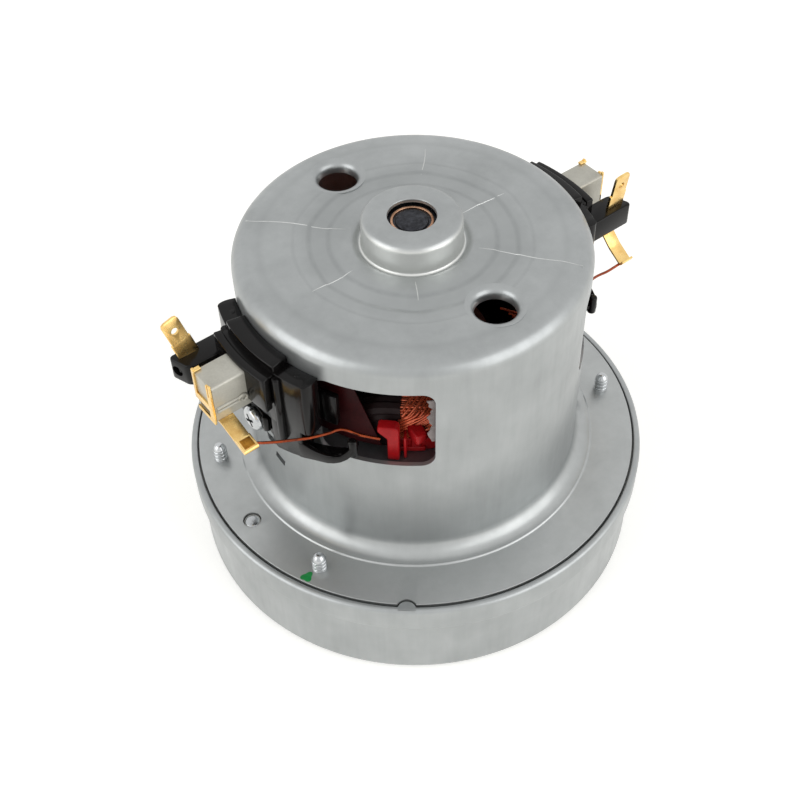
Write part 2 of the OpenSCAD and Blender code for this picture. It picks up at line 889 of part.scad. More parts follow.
module column_plan() {
    mirrored_y()
        difference() {
            rotate(column_ang) translate([holder_in + column_r - 1, 0]) circle(column_r);
            circle(holder_in);
        }
}

module holder_body() {
    lip_t = 1.2;
    tail_h = 4.5;
    tail_ang = 7;
    rib_r = 1.7;
    floor_z = skirt_z + 1.5;
    lip_z = skirt_z + 4;
    hook_z = skirt_z + 8;
    foot_z = win_z + 4.4;
    column_z = win_z + 7;
    top_z = brush_z + wing_top;
    groove_z = top_z - groove_d;
    gutter_ang = saddle_ang - 2;
    hook_ang = skirt_ang - 2;
    skirt_r = holder_in + skirt_d;
    gutter_r = skirt_r + gutter_d;
    storey(skirt_z - tail_h, skirt_z) plan_sector(holder_in, skirt_r, tail_ang);
    storey(skirt_z, floor_z) {
        plan_sector(holder_in, skirt_r, skirt_ang);
        plan_arcs(skirt_r - eps, gutter_r, gutter_ang, skirt_ang);
    }
    storey(floor_z, lip_z) {
        plan_sector(holder_in, skirt_r, skirt_ang);
        plan_arcs(gutter_r - lip_t, gutter_r, gutter_ang, skirt_ang);
        plan_arcs(skirt_r - eps, gutter_r, hook_ang, skirt_ang);
    }
    storey(lip_z, hook_z) {
        plan_sector(holder_in, skirt_r, skirt_ang);
        plan_arcs(skirt_r - eps, gutter_r, hook_ang, skirt_ang);
    }
    storey(hook_z, foot_z) plan_sector(holder_in, skirt_r, skirt_ang);
    storey(foot_z, column_z) {
        plan_sector(holder_in, wing_r, column_ang);
        mirrored_y() rotate(saddle_ang - 2) translate([wing_r + 1, 0]) circle(rib_r);
    }
    storey(column_z, core_z) {
        plan_sector(holder_in, wing_r, column_ang);
        mirrored_y() rotate(saddle_ang - 2) translate([wing_r + 1, 0]) circle(rib_r);
        column_plan();
    }
    storey(core_z, groove_z) {
        plan_sector(holder_in, wing_r, column_ang);
        plan_sector(holder_in, ledge_r1, saddle_ang);
        column_plan();
    }
    storey(groove_z, top_z) {
        plan_sector(holder_in, wing_r, column_ang);
        plan_sector(ledge_r0, ledge_r1, saddle_ang);
        column_plan();
    }
    storey(top_z, brush_z + saddle_top) plan_sector(holder_in, wing_r, saddle_ang);
}

// The boss under the brush tube, which the holder's screw passes through
module screw_boss() {
    root = holder_in + 1;
    web_x = boss_x - 0.6;
    translate([root, 0, screw_z]) rotate([0, 90, 0]) cylinder(r = boss_r, h = boss_x - root);
    translate([root, -tube_w / 2, screw_z]) cube([web_x - root, tube_w, core_z - screw_z + eps]);
}

module spade_arm() {
    root = wing_r - 2;
    end_r = spade_arm_w / 2;
    x1 = can_r + spade_arm_out - end_r;
    storey(arm_top - spade_arm_h, arm_top) {
        translate([root, -arm_y - spade_arm_w]) square([x1 - root, spade_arm_w]);
        translate([x1, -arm_y - end_r]) circle(end_r);
        translate([root, -arm_y - 1]) square([ledge_r1 - root - 1, arm_y - tube_w / 2]);
    }
}

// The inner guide that reaches through the window to hold the brush tube
module tube_guide() {
    guide_x = can_in - 6;
    translate([guide_x, -tube_w / 2 - 2, core_z + 0.4])
        cube([holder_in + 2 - guide_x, tube_w + 4, win_top - 0.8 - core_z - 0.4]);
}

module brush_holder() {
    color(black_plastic)
        difference() {
            union() {
                holder_body();
                screw_boss();
                spade_arm();
                tube_guide();
            }
            translate([0, -tube_w / 2 - fit, brush_z - tube_h / 2 - fit])
                cube([2 * can_r, tube_w + 2 * fit, tube_h + 2 * fit]);
            translate([0, 0, screw_z]) rotate([0, 90, 0]) cylinder(r = holder_screw_r + run, h = 2 * can_r);
            spade_slot();
        }
}

module brush_tube() {
    corner = 1.1;
    seam = 0.5;
    color(zinc) {
        translate([tube_x0, 0, brush_z])
            rotate([90, 0, 90])
                linear_extrude(tube_x1 - tube_x0)
                    difference() {
                        rounded_bar(tube_w, tube_h, corner);
                        square([tube_w - 2 * tube_t, tube_h - 2 * tube_t], center = true);
                    }
        translate([ledge_r1 + loose, tube_w / 2 - seam, brush_z - 2.4])
            cube([tube_x1 - 0.4 - ledge_r1 - loose, 2 * seam, 1]);
    }
}

// The strip's profile across the brush axis: a flat root, a sloping leaf and the fold on the lead
module strip_profile(len) {
    fold_h = lead_d + 2 * run;
    fold_len = 3.6;
    translate([-2, 0]) square([strip_bend + 2, brass_t]);
    translate([strip_bend, brass_t / 2]) {
        circle(brass_t / 2);
        rotate(-strip_slope)
            translate([0, -brass_t / 2]) {
                square([len, brass_t]);
                translate([len - brass_t, 0]) square([brass_t, 2 * brass_t + fold_h]);
                translate([len - fold_len, brass_t + fold_h]) square([fold_len, brass_t]);
            }
    }
}

module brush_terminal(side) {
    cut_w = 3;
    color(brass) {
        translate([cap_x, 0, brush_z])
            rotate([90, 0, 90])
                linear_extrude(brass_t)
                    difference() {
                        square([tube_w - 0.6, tube_h - 0.6], center = true);
                        translate([-cut_w / 2, tube_h * 0.08]) square([cut_w, tube_h * 0.26]);
                        translate([-cut_w / 2, -tube_h * 0.36]) square([cut_w, tube_h * 0.26]);
                    }
        translate([strip_x, -tube_w / 2 + 0.8, strip_z])
            cube([cap_x + brass_t - strip_x, tube_w - 1.6, brass_t]);
        translate([cap_x, -tube_w / 2 + 0.8, strip_z]) cube([brass_t, tube_w - 1.6, tube_h / 2]);
        mirror([0, side, 0])
            translate([strip_x, 0, strip_z])
                rotate([90, 0, 90]) linear_extrude(strip_w) strip_profile(strip_len[side]);
    }
}

spade_t = 0.8;
spade_x = can_r + 11.3;
spade_y = -arm_y - spade_arm_w / 2 + 0.3;
spade_foot_d = 3;

module spade_blade() {
    tip_cut = spade_w * 0.22;
    rotate([90, 0, 0])
        linear_extrude(spade_t)
            difference() {
                polygon([
                    [0, 0], [spade_w, 0], [spade_w, spade_len - tip_cut], [spade_w - tip_cut, spade_len],
                    [tip_cut, spade_len], [0, spade_len - tip_cut]
                ]);
                translate([spade_w / 2, spade_len - 3.6]) circle(spade_hole_r);
            }
}

module spade_terminal() {
    lean = 10;
    tip = 5;
    color(brass) {
        translate([spade_x, spade_y, arm_top]) rotate([lean, tip, 0]) spade_blade();
        translate([spade_x, spade_y - spade_t, arm_top - spade_foot_d])
            cube([spade_w, spade_t, spade_foot_d + spade_t]);
    }
}

module spade_slot() {
    translate([spade_x - run, spade_y - spade_t - run, arm_top - spade_foot_d - fit])
        cube([spade_w + 2 * run, spade_t + 2 * run, spade_foot_d + eps]);
}

module holder_screws() {
    recess_w = 0.9;
    recess_d = 1.2;
    tip_in = 6;
    color(zinc)
        two_fold()
            difference() {
                union() {
                    translate([can_in - tip_in, 0, screw_z])
                        rotate([0, 90, 0]) cylinder(r = holder_screw_r, h = boss_x + eps - can_in + tip_in);
                    translate([boss_x, 0, screw_z])
                        rotate([0, 90, 0]) pan_head(holder_head_r, holder_head_h);
                }
                for (a = [45, 135])
                    translate([boss_x + holder_head_h, 0, screw_z])
                        rotate([a, 0, 0]) cube([2 * recess_d, 2 * holder_screw_r, recess_w], center = true);
            }
}

module flange_screws() {
    shank_r = screw_r * 0.75;
    shank_h = flange_top - diff_z;
    tip_round = screw_r * 0.55;
    recess_w = 1;
    recess_d = 1.4;
    color(zinc)
        two_fold()
            screw_places() {
                translate([0, 0, diff_z])
                    rotate_extrude()
                        difference() {
                            union() {
                                square([shank_r, shank_h + screw_tip_h]);
                                translate([0, shank_h]) square([screw_r, screw_tip_h]);
                            }
                            translate([screw_r, shank_h + screw_tip_h]) round_off(tip_round);
                        }
                difference() {
                    translate([0, 0, diff_z]) mirror([0, 0, 1]) pan_head(screw_head_r, screw_head_h);
                    for (a = [0, 90])
                        translate([0, 0, diff_z - screw_head_h])
                            rotate([0, 0, a]) cube([2 * screw_r, recess_w, 2 * recess_d], center = true);
                }
            }
}

module lead_wire(side) {
    path = smooth_route(lead_points(side), 3);
    color(copper) tube(path, [for (p = path) [0, 0, 1]], lead_d / 2, 8);
}

module carbon_brush() {
    color(carbon)
        difference() {
            translate([brush_x0 - brush_w, -brush_w / 2, brush_z - brush_h / 2])
                cube([brush_x1 - brush_x0 + brush_w, brush_w, brush_h]);
            translate([0, 0, brush_z - brush_h]) cylinder(r = brush_x0, h = 2 * brush_h);
        }
}

module brush_spring() {
    color(steel)
        translate([0, 0, brush_z])
            tube(spring_path, [for (p = spring_path) [1, 0, 0]], spring_d / 2, 6);
}

module brush_pigtail() {
    pigtail_r = 0.6;
    color(copper)
        translate([brush_x1, 0, brush_z]) rotate([0, 90, 0]) cylinder(r = pigtail_r, h = cap_x - brush_x1);
}

// Bearings

race_r = ball_r + run;

module bearing_outer(z) {
    color(steel)
        translate([0, 0, z])
            rotate_extrude()
                difference() {
                    translate([brg_r - race_w, 0]) square([race_w, brg_w]);
                    translate([pitch_r, brg_w / 2]) circle(race_r);
                }
}

module bearing_inner(z) {
    color(steel)
        translate([0, 0, z])
            rotate_extrude()
                difference() {
                    translate([shaft_r + fit, 0]) square([race_w, brg_w]);
                    translate([pitch_r, brg_w / 2]) circle(race_r);
                }
}

module bearing_shields(z) {
    shield_t = 0.3;
    inset = 0.25;
    color(zinc)
        for (s = [z + inset, z + brg_w - inset - shield_t])
            ring(brg_r - race_w - fit, shaft_r + race_w + loose, s, shield_t);
}

module bearing_balls(z) {
    color(steel)
        for (i = [0:balls - 1])
            rotate([0, 0, i * 360 / balls]) translate([pitch_r, 0, z + brg_w / 2]) sphere(ball_r);
}

module bearing_cage(z) {
    web = 0.35;
    pocket_r = ball_r + loose;
    cage_h = 2 * (pocket_r + web);
    color(brass)
        difference() {
            ring(pitch_r + 0.6, pitch_r - 0.6, z + (brg_w - cage_h) / 2, cage_h);
            for (i = [0:balls - 1])
                rotate([0, 0, i * 360 / balls]) translate([pitch_r, 0, z + brg_w / 2]) sphere(pocket_r);
        }
}

module bearing_sleeve() {
    color(rubber) ring(hub_in - fit, brg_r + fit, up_brg_z, brg_w);
}

module wave_washer() {
    color(zinc) ring(brg_r - 0.3, brg_r - race_w - 0.6, up_brg_z + brg_w, washer_t);
}

// Rotor

module shaft() {
    color(dark_steel) {
        translate([0, 0, shaft_end_z]) cylinder(r = shaft_r, h = shaft_top - shaft_end_z);
        translate([0, 0, bracket_z]) cylinder(r = shaft_mid_r, h = up_brg_z - bracket_z);
    }
}

module armature_plan() {
    opening = slot_r * 0.8;
    difference() {
        circle(arm_r);
        circle(shaft_mid_r + fit);
        for (i = [0:slots - 1])
            rotate(i * 360 / slots) {
                translate([slot_pos_r, 0]) circle(slot_r);
                translate([slot_pos_r, -opening / 2]) square([arm_r, opening]);
            }
    }
}

module armature_core() {
    color(dark_steel)
        translate([0, 0, stator_z]) linear_extrude(stack_h) armature_plan();
}

module armature_insulators() {
    color(fibre)
        for (z = [stator_z - disc_t, stator_top])
            translate([0, 0, z]) linear_extrude(disc_t) armature_plan();
}

// Half of the armature's end turns, standing on z = 0
module end_turns(h) {
    edge = h * 0.45;
    rotate_extrude()
        difference() {
            translate([winding_in, 0]) square([arm_r - 1 - winding_in, h]);
            translate([arm_r - 1, h]) round_off(edge);
        }
}

module armature_winding() {
    top_h = comm_z - stator_top - disc_t - 2.5;
    low_h = stator_z - flange_top - disc_t - 2;
    bar_z = stator_z - disc_t - eps;
    color(copper) {
        translate([0, 0, stator_top + disc_t]) end_turns(top_h);
        translate([0, 0, stator_z - disc_t]) mirror([0, 0, 1]) end_turns(low_h);
        for (i = [0:slots - 1])
            rotate([0, 0, i * 360 / slots])
                translate([slot_pos_r, 0, bar_z])
                    cylinder(r = slot_r - loose, h = stack_h + 2 * disc_t + 2 * eps);
    }
}

module shaft_sleeve() {
    sleeve_z = stator_top + disc_t;
    color(fibre) ring(shaft_mid_r + 1.4, shaft_mid_r + fit, sleeve_z, comm_z - 1 - sleeve_z);
}

module commutator_hub() {
    color(fibre) ring(hub_core_r, shaft_mid_r + fit, comm_z - 1, comm_len + 2);
}

module commutator_bars() {
    half_step = 180 / bars;
    half_gap = bar_gap / 2 / comm_r * 180 / PI;
    color(copper)
        for (i = [0:bars - 1])
            rotate([0, 0, i * 360 / bars]) {
                sector(hub_core_r + fit, comm_r, comm_z, comm_top, half_step - half_gap);
                sector(comm_r - run, comm_r + riser_d, comm_z, comm_z + riser_h, half_step * 0.5);
            }
}

// Fan

module fan_back_plate() {
    color(steel) ring(fan_r, shaft_r + fit, back_z, fan_plate_t);
}

module fan_front_plate() {
    color(steel)
        rotate_extrude()
            polygon([
                [eye_r, front_z], [fan_r, edge_z - fan_plate_t],
                [fan_r, edge_z], [eye_r, blade_z]
            ]);
}

module fan_blades() {
    blade_in = eye_r + 1;
    color(steel)
        intersection() {
            for (i = [0:blades - 1])
                rotate([0, 0, i * 360 / blades])
                    translate([0, 0, front_z])
                        linear_extrude(back_z - front_z) swept_wall(blade_in, fan_r - 0.5, blade_t);
            rotate_extrude()
                polygon([[eye_r, blade_z], [fan_r, edge_z], [fan_r, back_z], [eye_r, back_z]]);
        }
}

module fan_spacer() {
    color(zinc) ring(spacer_r, shaft_r + fit, fan_top, low_brg_z - fan_top);
}

module fan_washer() {
    color(zinc) ring(fan_washer_r, shaft_r + fit, back_z - fan_washer_t, fan_washer_t);
}

module fan_nut() {
    color(zinc)
        translate([0, 0, back_z - fan_washer_t - nut_h])
            difference() {
                cylinder(d = nut_af / cos(30), h = nut_h, $fn = 6);
                translate([0, 0, -eps]) cylinder(r = shaft_r + fit, h = nut_h + 2 * eps);
            }
}

// The left side is the right side's shape after half a turn
module left_side() {
    rotate([0, 0, 180]) children();
}

motor_housing();
fan_cover();
lower_bracket();
diffuser();
stator_core();
field_former(-1);  // field_former_front
field_former(1);  // field_former_back
field_coil(-1);  // field_coil_front
field_coil(1);  // field_coil_back
field_winding(-1);  // field_winding_front
field_winding(1);  // field_winding_back
left_side() brush_holder();  // brush_holder_left
brush_holder();  // brush_holder_right
left_side() brush_tube();  // brush_tube_left
brush_tube();  // brush_tube_right
left_side() brush_terminal(0);  // brush_terminal_left
brush_terminal(1);  // brush_terminal_right
left_side() spade_terminal();  // spade_terminal_left
spade_terminal();  // spade_terminal_right
holder_screws();
flange_screws();
left_side() lead_wire(0);  // lead_wire_left
lead_wire(1);  // lead_wire_right
bearing_outer(up_brg_z);  // upper_bearing_outer
bearing_outer(low_brg_z);  // lower_bearing_outer
bearing_shields(up_brg_z);  // upper_bearing_shields
bearing_shields(low_brg_z);  // lower_bearing_shields
bearing_sleeve();
wave_washer();
shaft();
armature_core();
armature_insulators();
armature_winding();
shaft_sleeve();
commutator_hub();
commutator_bars();
bearing_inner(up_brg_z);  // upper_bearing_inner
bearing_inner(low_brg_z);  // lower_bearing_inner
fan_back_plate();
fan_blades();
fan_front_plate();
fan_spacer();
fan_washer();
fan_nut();
bearing_balls(up_brg_z);  // upper_bearing_balls
bearing_cage(up_brg_z);  // upper_bearing_cage
bearing_balls(low_brg_z);  // lower_bearing_balls
bearing_cage(low_brg_z);  // lower_bearing_cage
left_side() carbon_brush();  // carbon_brush_left
carbon_brush();  // carbon_brush_right
left_side() brush_spring();  // brush_spring_left
brush_spring();  // brush_spring_right
left_side() brush_pigtail();  // brush_pigtail_left
brush_pigtail();  // brush_pigtail_right
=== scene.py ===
"""Vacuum motor unit: a drawn steel can on a fan cover, with its brush gear, coils and leads."""
import logging
import math
from dataclasses import dataclass, field
from enum import Enum
from typing import Any, Sequence

import bmesh
import bpy
from mathutils import Matrix, Vector


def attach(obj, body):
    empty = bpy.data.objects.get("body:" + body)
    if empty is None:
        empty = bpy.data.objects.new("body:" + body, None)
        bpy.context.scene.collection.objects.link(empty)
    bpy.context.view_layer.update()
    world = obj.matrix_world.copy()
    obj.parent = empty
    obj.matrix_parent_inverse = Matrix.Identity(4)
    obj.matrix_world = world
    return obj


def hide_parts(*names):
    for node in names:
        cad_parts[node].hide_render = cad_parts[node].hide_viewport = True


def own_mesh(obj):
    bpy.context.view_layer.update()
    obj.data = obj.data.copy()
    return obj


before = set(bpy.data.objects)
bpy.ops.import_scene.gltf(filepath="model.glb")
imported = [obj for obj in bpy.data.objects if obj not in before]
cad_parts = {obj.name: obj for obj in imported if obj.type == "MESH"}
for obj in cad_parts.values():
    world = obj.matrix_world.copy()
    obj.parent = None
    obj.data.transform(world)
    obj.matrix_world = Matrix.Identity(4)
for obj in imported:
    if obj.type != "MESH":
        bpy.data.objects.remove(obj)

MM = 0.001
LOG = logging.getLogger("motor_unit")
SIDES = (-1, 1)
HALF_TURNS = (0, 180)
SHARP_ANGLE = 30.0
CRISP_ANGLE = 35.0
LARGE_ROUNDING = 1.5
TONE_RANGE = {"From Min": 0.3, "From Max": 0.7}
# Lays a flat shape's X round the shaft, its Y up and its Z outwards
UPRIGHT = Matrix(((0, 0, 1), (1, 0, 0), (0, 1, 0))).to_4x4()
Span = tuple[float, float]
Point = tuple[float, float, float]
Corner = tuple[float, float, float]


class Side(Enum):
    """The two brush gears, half a turn apart."""

    LEFT = "left"
    RIGHT = "right"

    @property
    def turn(self) -> float:
        """Angle about the shaft from the brush axis on +X, in degrees."""
        return 180.0 if self is Side.LEFT else 0.0

    @property
    def sign(self) -> int:
        """Which way the lead strip leaves the brush tube in the gear's own frame."""
        return 1 if self is Side.LEFT else -1


class Pole(Enum):
    """The two field coils."""

    FRONT = "front"
    BACK = "back"

    @property
    def turn(self) -> float:
        """Angle of the pole about the shaft, in degrees."""
        return -90.0 if self is Pole.FRONT else 90.0


def linear(code: str) -> tuple[float, float, float, float]:
    """Turns an sRGB hex colour to linear RGBA.

    Args:
        code: six hex digits after a hash.

    Returns:
        Linear red, green and blue with an alpha of one.
    """
    parts = [int(code[i:i + 2], 16) / 255 for i in (1, 3, 5)]
    red, green, blue = (c / 12.92 if c <= 0.04045 else ((c + 0.055) / 1.055) ** 2.4 for c in parts)
    return red, green, blue, 1.0


def fresh_tree(owner: bpy.types.Material | bpy.types.World) -> bpy.types.NodeTree:
    """Gives a material or world an empty node tree.

    Args:
        owner: the material or world.

    Returns:
        Its tree.
    """
    owner.use_nodes = True
    owner.node_tree.nodes.clear()
    return owner.node_tree


def add_node(tree: bpy.types.NodeTree, kind: str, inputs: dict[Any, Any] | None = None,
             **settings: Any) -> bpy.types.Node:
    """Adds a node with its settings, values and links.

    Args:
        tree: the tree that gets the node.
        kind: the node's type name.
        inputs: a value or a source socket for each input, by name or index.
        settings: the node's own properties.

    Returns:
        The new node.
    """
    node = tree.nodes.new(kind)
    for name, value in settings.items():
        setattr(node, name, value)
    for name, value in (inputs or {}).items():
        if isinstance(value, bpy.types.NodeSocket):
            tree.links.new(value, node.inputs[name])
        else:
            node.inputs[name].default_value = value
    return node


def seen_directly(tree: bpy.types.NodeTree) -> bpy.types.NodeSocket:
    """Tells rays of the camera, of reflections and through glass from those that light a surface.

    Args:
        tree: the tree that gets the nodes.

    Returns:
        A socket that is one on such rays and zero on others.
    """
    path = add_node(tree, "ShaderNodeLightPath").outputs
    seen = path["Is Camera Ray"]
    for kind in ("Is Glossy Ray", "Is Transmission Ray"):
        seen = add_node(tree, "ShaderNodeMath", {0: seen, 1: path[kind]}, operation="MAXIMUM").outputs[0]
    return seen


@dataclass(frozen=True)
class Finish:
    """A material with the grain, tone and gloss that its making gives it, and where set, painted shade along
    stamped rings and a painted highlight. Sizes are in millimetres.
    """

    name: str
    light: str
    dark: str
    metallic: float = 0.0
    roughness: Span = (0.35, 0.5)
    ior: float = 1.5
    grain: float = 0.6
    stretch: Point = (1.0, 1.0, 1.0)
    bump: float = 0.01
    cloud: float = 18.0
    cloud_share: float = 0.6
    coat: float = 0.0
    layers: float = 0.0
    # Strength of the painted shade along the stamped rings
    ring_shade: float = 0.0
    # Pale colour of the painted highlight, mixed in where the mesh asks for it
    painted_sheen: str = ""

    def make(self) -> bpy.types.Material:
        """Makes the material, or finds it where it was made before.

        Returns:
            The material of this name.
        """
        found = bpy.data.materials.get(self.name)
        if found:
            return found
        material = bpy.data.materials.new(self.name)
        tree = fresh_tree(material)
        place = add_node(tree, "ShaderNodeTexCoord").outputs["Object"]
        drawn = add_node(tree, "ShaderNodeMapping", {"Vector": place, "Scale": self.stretch}).outputs[0]
        fine = add_node(tree, "ShaderNodeTexNoise", {
            "Vector": drawn, "Scale": 1 / (self.grain * MM), "Detail": 4.0, "Roughness": 0.6}).outputs["Fac"]
        slow = add_node(tree, "ShaderNodeTexNoise", {
            "Vector": place, "Scale": 1 / (self.cloud * MM), "Detail": 3.0, "Roughness": 0.55}).outputs["Fac"]
        tone = add_node(tree, "ShaderNodeMix", {0: self.cloud_share, 2: fine, 3: slow}).outputs[0]
        height = fine
        if self.layers:
            bands = add_node(tree, "ShaderNodeTexWave", {
                "Vector": place, "Scale": 1 / (2 * self.layers * MM), "Distortion": 0.4,
                "Detail": 1.0}, bands_direction="Z").outputs["Fac"]
            height = add_node(tree, "ShaderNodeMix", {0: 0.7, 2: fine, 3: bands}).outputs[0]
            tone = add_node(tree, "ShaderNodeMix", {0: 0.5, 2: tone, 3: bands}).outputs[0]
        gloss = add_node(tree, "ShaderNodeMapRange", {
            "Value": tone, **TONE_RANGE, "To Min": self.roughness[1], "To Max": self.roughness[0]}).outputs[0]
        shader = add_node(tree, "ShaderNodeBsdfPrincipled", {
            "Base Color": self._colour(tree, tone, fine), "Metallic": self.metallic, "Roughness": gloss,
            "Coat Weight": self.coat})
        if not self.metallic:
            shader.inputs["IOR"].default_value = self.ior
        if self.bump:
            relief = add_node(tree, "ShaderNodeBump", {"Height": height, "Distance": self.bump * MM})
            tree.links.new(relief.outputs["Normal"], shader.inputs["Normal"])
        add_node(tree, "ShaderNodeOutputMaterial", {"Surface": shader.outputs["BSDF"]})
        return material

    def _colour(self, tree: bpy.types.NodeTree, tone: bpy.types.NodeSocket,
                fine: bpy.types.NodeSocket) -> bpy.types.NodeSocket:
        """Mixes the two tones, then darkens it with painted shade along the stamped rings and lightens it
        with a painted highlight.

        Args:
            tree: the material's tree.
            tone: the pattern between dark and light.
            fine: the grain.

        Returns:
            The colour.
        """
        share = add_node(tree, "ShaderNodeMapRange", {"Value": tone, **TONE_RANGE}).outputs[0]
        colour = add_node(tree, "ShaderNodeMix", {
            0: share, 6: linear(self.dark), 7: linear(self.light)}, data_type="RGBA").outputs[2]
        # Painted shade along the stamped rings, broken up by the grain
        if self.ring_shade:
            ring_shade_share = add_node(tree, "ShaderNodeAttribute", attribute_name="painted_ring_shade").outputs["Fac"]
            ring_shade_amount = add_node(tree, "ShaderNodeMath", {0: ring_shade_share, 1: fine}, operation="MULTIPLY").outputs[0]
            ring_shade_amount = add_node(tree, "ShaderNodeMath", {0: ring_shade_amount, 1: 2 * self.ring_shade}, operation="MULTIPLY",
                            use_clamp=True).outputs[0]
            colour = add_node(tree, "ShaderNodeMix", {0: ring_shade_amount, 6: colour, 7: linear(self.dark)},
                              data_type="RGBA", blend_type="MULTIPLY").outputs[2]
        # Painted highlight on the hub wall and painted light on the flange, mixed towards a pale colour
        if self.painted_sheen:
            shine = add_node(tree, "ShaderNodeAttribute", attribute_name="painted_sheen_share").outputs["Fac"]
            colour = add_node(tree, "ShaderNodeMix", {0: shine, 6: colour, 7: linear(self.painted_sheen)},
                              data_type="RGBA").outputs[2]
        return colour


# Deep-drawn sheet with a zinc coat: a satin grey with soft streaks along the draw, with painted shade along
# the stamped rings and a painted highlight on the hub wall and flange
DRAWN_STEEL = Finish("zinc_coated_drawn_steel", "#adb0b0", "#9b9e9e", 0.8, (0.3, 0.42), grain=2.2,
                     stretch=(1.0, 1.0, 0.12), bump=0.003, cloud=16.0, cloud_share=0.7, ring_shade=0.28,
                     painted_sheen="#e9eae6")
# The same sheet, lighter on the pressed ridges: a painted highlight where the ridges catch the light
RIDGE_HIGHLIGHT_STEEL = Finish("ridge_painted_highlight_steel", "#d6d8d6", "#bcbebc", 0.7, (0.3, 0.4), grain=1.0, bump=0.002)
# Bright zinc on rolled screws: whiter and glossier than the sheet
BRIGHT_ZINC = Finish("bright_zinc_plated_steel", "#cfd1d2", "#a3a6a8", 1.0, (0.15, 0.28), grain=0.3,
                     bump=0.003)
# Folded zinc sheet with a dull coat: pale matt grey with faint mottling
DULL_ZINC = Finish("dull_zinc_folded_sheet", "#bfbdb3", "#aba99f", 0.5, (0.36, 0.48), grain=0.5, bump=0.004,
                   cloud=7.0)
# Stamped aluminium of the fan: pale, with a rolled grain
FAN_SHEET = Finish("stamped_aluminium_sheet", "#c8c9ca", "#a5a7aa", 1.0, (0.32, 0.45), grain=0.8, bump=0.005)
# Glass-filled polyester moulding: black with a gloss skin and a fine grain
BLACK_MOULDING = Finish("moulded_black_polyester", "#110f0f", "#080707", 0.0, (0.1, 0.22), 1.29, grain=0.35,
                        bump=0.006, cloud=6.0)
# Moulded nylon with a red pigment: waxy half gloss
RED_MOULDING = Finish("moulded_red_nylon", "#b01418", "#820c12", 0.0, (0.3, 0.42), 1.29, grain=0.5,
                      bump=0.008, cloud=5.0)
# Moulded grey polypropylene of the diffuser
GREY_MOULDING = Finish("moulded_grey_polypropylene", "#b4b4af", "#9d9d98", 0.0, (0.4, 0.52), 1.49, grain=0.5,
                       bump=0.006)
# Stamped brass: warm gold with brown tarnish in patches
BRASS = Finish("stamped_brass", "#fbdc96", "#dcb068", 1.0, (0.2, 0.34), grain=0.35, bump=0.006, cloud=2.6,
               cloud_share=0.7)
# Brass darkened to brown: painted shade at the bottom of the crimp pocket
POCKET_SHADE_BRASS = Finish("pocket_painted_shade_brass", "#b98436", "#6b3f14", 1.0, (0.3, 0.45), grain=0.3, bump=0.01,
                         cloud=1.5)
# Enamelled copper wire: bright orange metal under a clear varnish
COPPER_WIRE = Finish("enamelled_copper_wire", "#e07048", "#a8452c", 0.65, (0.2, 0.32), grain=0.5, bump=0.003,
                     cloud=6.0, coat=0.3)
# Lead wire in a red-brown enamel
LEAD_ENAMEL = Finish("red_brown_lead_enamel", "#b04a1c", "#5e2009", 0.9, (0.2, 0.32), grain=0.5, bump=0.003,
                     cloud=4.0, coat=0.3)
# Stacked electrical sheet: dark grey with a line for each sheet
LAMINATIONS = Finish("stacked_electrical_steel", "#7c7d80", "#4c4d50", 0.9, (0.4, 0.55), grain=0.5, bump=0.05,
                     layers=0.7)
# Turned copper bars of the commutator, with a brown brush film
BAR_COPPER = Finish("turned_commutator_copper", "#b8754a", "#7d4526", 1.0, (0.25, 0.4), grain=0.4,
                    stretch=(0.4, 0.4, 6.0), bump=0.004)
# Ground bearing steel
BEARING_STEEL = Finish("ground_bearing_steel", "#b8b9ba", "#96989a", 1.0, (0.12, 0.24), grain=0.3, bump=0.002)
# Bearing ring and bore with warm oil stain
OILED_STEEL = Finish("oil_stained_bearing_steel", "#c9a084", "#7a5640", 1.0, (0.2, 0.35), grain=0.4,
                     bump=0.003, cloud=3.0)
# Turned and blackened end of the shaft
DARK_STEEL = Finish("blackened_turned_steel", "#43444a", "#121315", 0.8, (0.28, 0.5), grain=0.7, bump=0.05,
                    cloud=1.0)
# Nitrile rubber, moulded
RUBBER = Finish("moulded_nitrile_rubber", "#2a2a2a", "#1c1c1c", 0.0, (0.6, 0.75), 1.52, grain=0.4, bump=0.01)
# Pressed vulcanised fibre: red-brown board with a soft nap
FIBRE = Finish("pressed_vulcanised_fibre", "#8a4a36", "#5f2f22", 0.0, (0.6, 0.75), 1.5, grain=0.4, bump=0.02,
               cloud=4.0)
# Phenolic moulding under the commutator bars
PHENOLIC = Finish("moulded_phenolic", "#3a2b24", "#261c18", 0.0, (0.35, 0.5), 1.6, grain=0.4, bump=0.008)
# Pressed carbon: dull black with a graphite glint
CARBON = Finish("pressed_graphite_carbon", "#333236", "#1f1e21", 0.2, (0.45, 0.65), 1.7, grain=0.25,
                bump=0.015)
# Coiled spring wire
SPRING_STEEL = Finish("coiled_spring_steel", "#a6a7a8", "#7c7d7f", 1.0, (0.2, 0.32), grain=0.4, bump=0.002)
# Calendered insulation paper: pinkish white with soft fibres
PAPER = Finish("calendered_insulation_paper", "#a9a09e", "#6f6664", 0.0, (0.6, 0.75), 1.45, grain=0.8,
               bump=0.02, cloud=5.0)
# Near-black maroon wrap over the coil's corners: painted shade where the former's red cheek lies in shadow
SHADE_WRAP = Finish("maroon_painted_shade_wrap", "#1a0808", "#0e0506", 0.0, (0.5, 0.65), 1.3, grain=0.4, bump=0.02,
                   cloud=4.0)
# Drawn red polyester film between coil and can, darkened near to black with painted shade of the can's inside
SHADED_RED_FILM = Finish("red_film_with_painted_shade", "#3c080b", "#1e0406", 0.0, (0.45, 0.6), 1.28, grain=0.6,
                  bump=0.006, cloud=6.0)
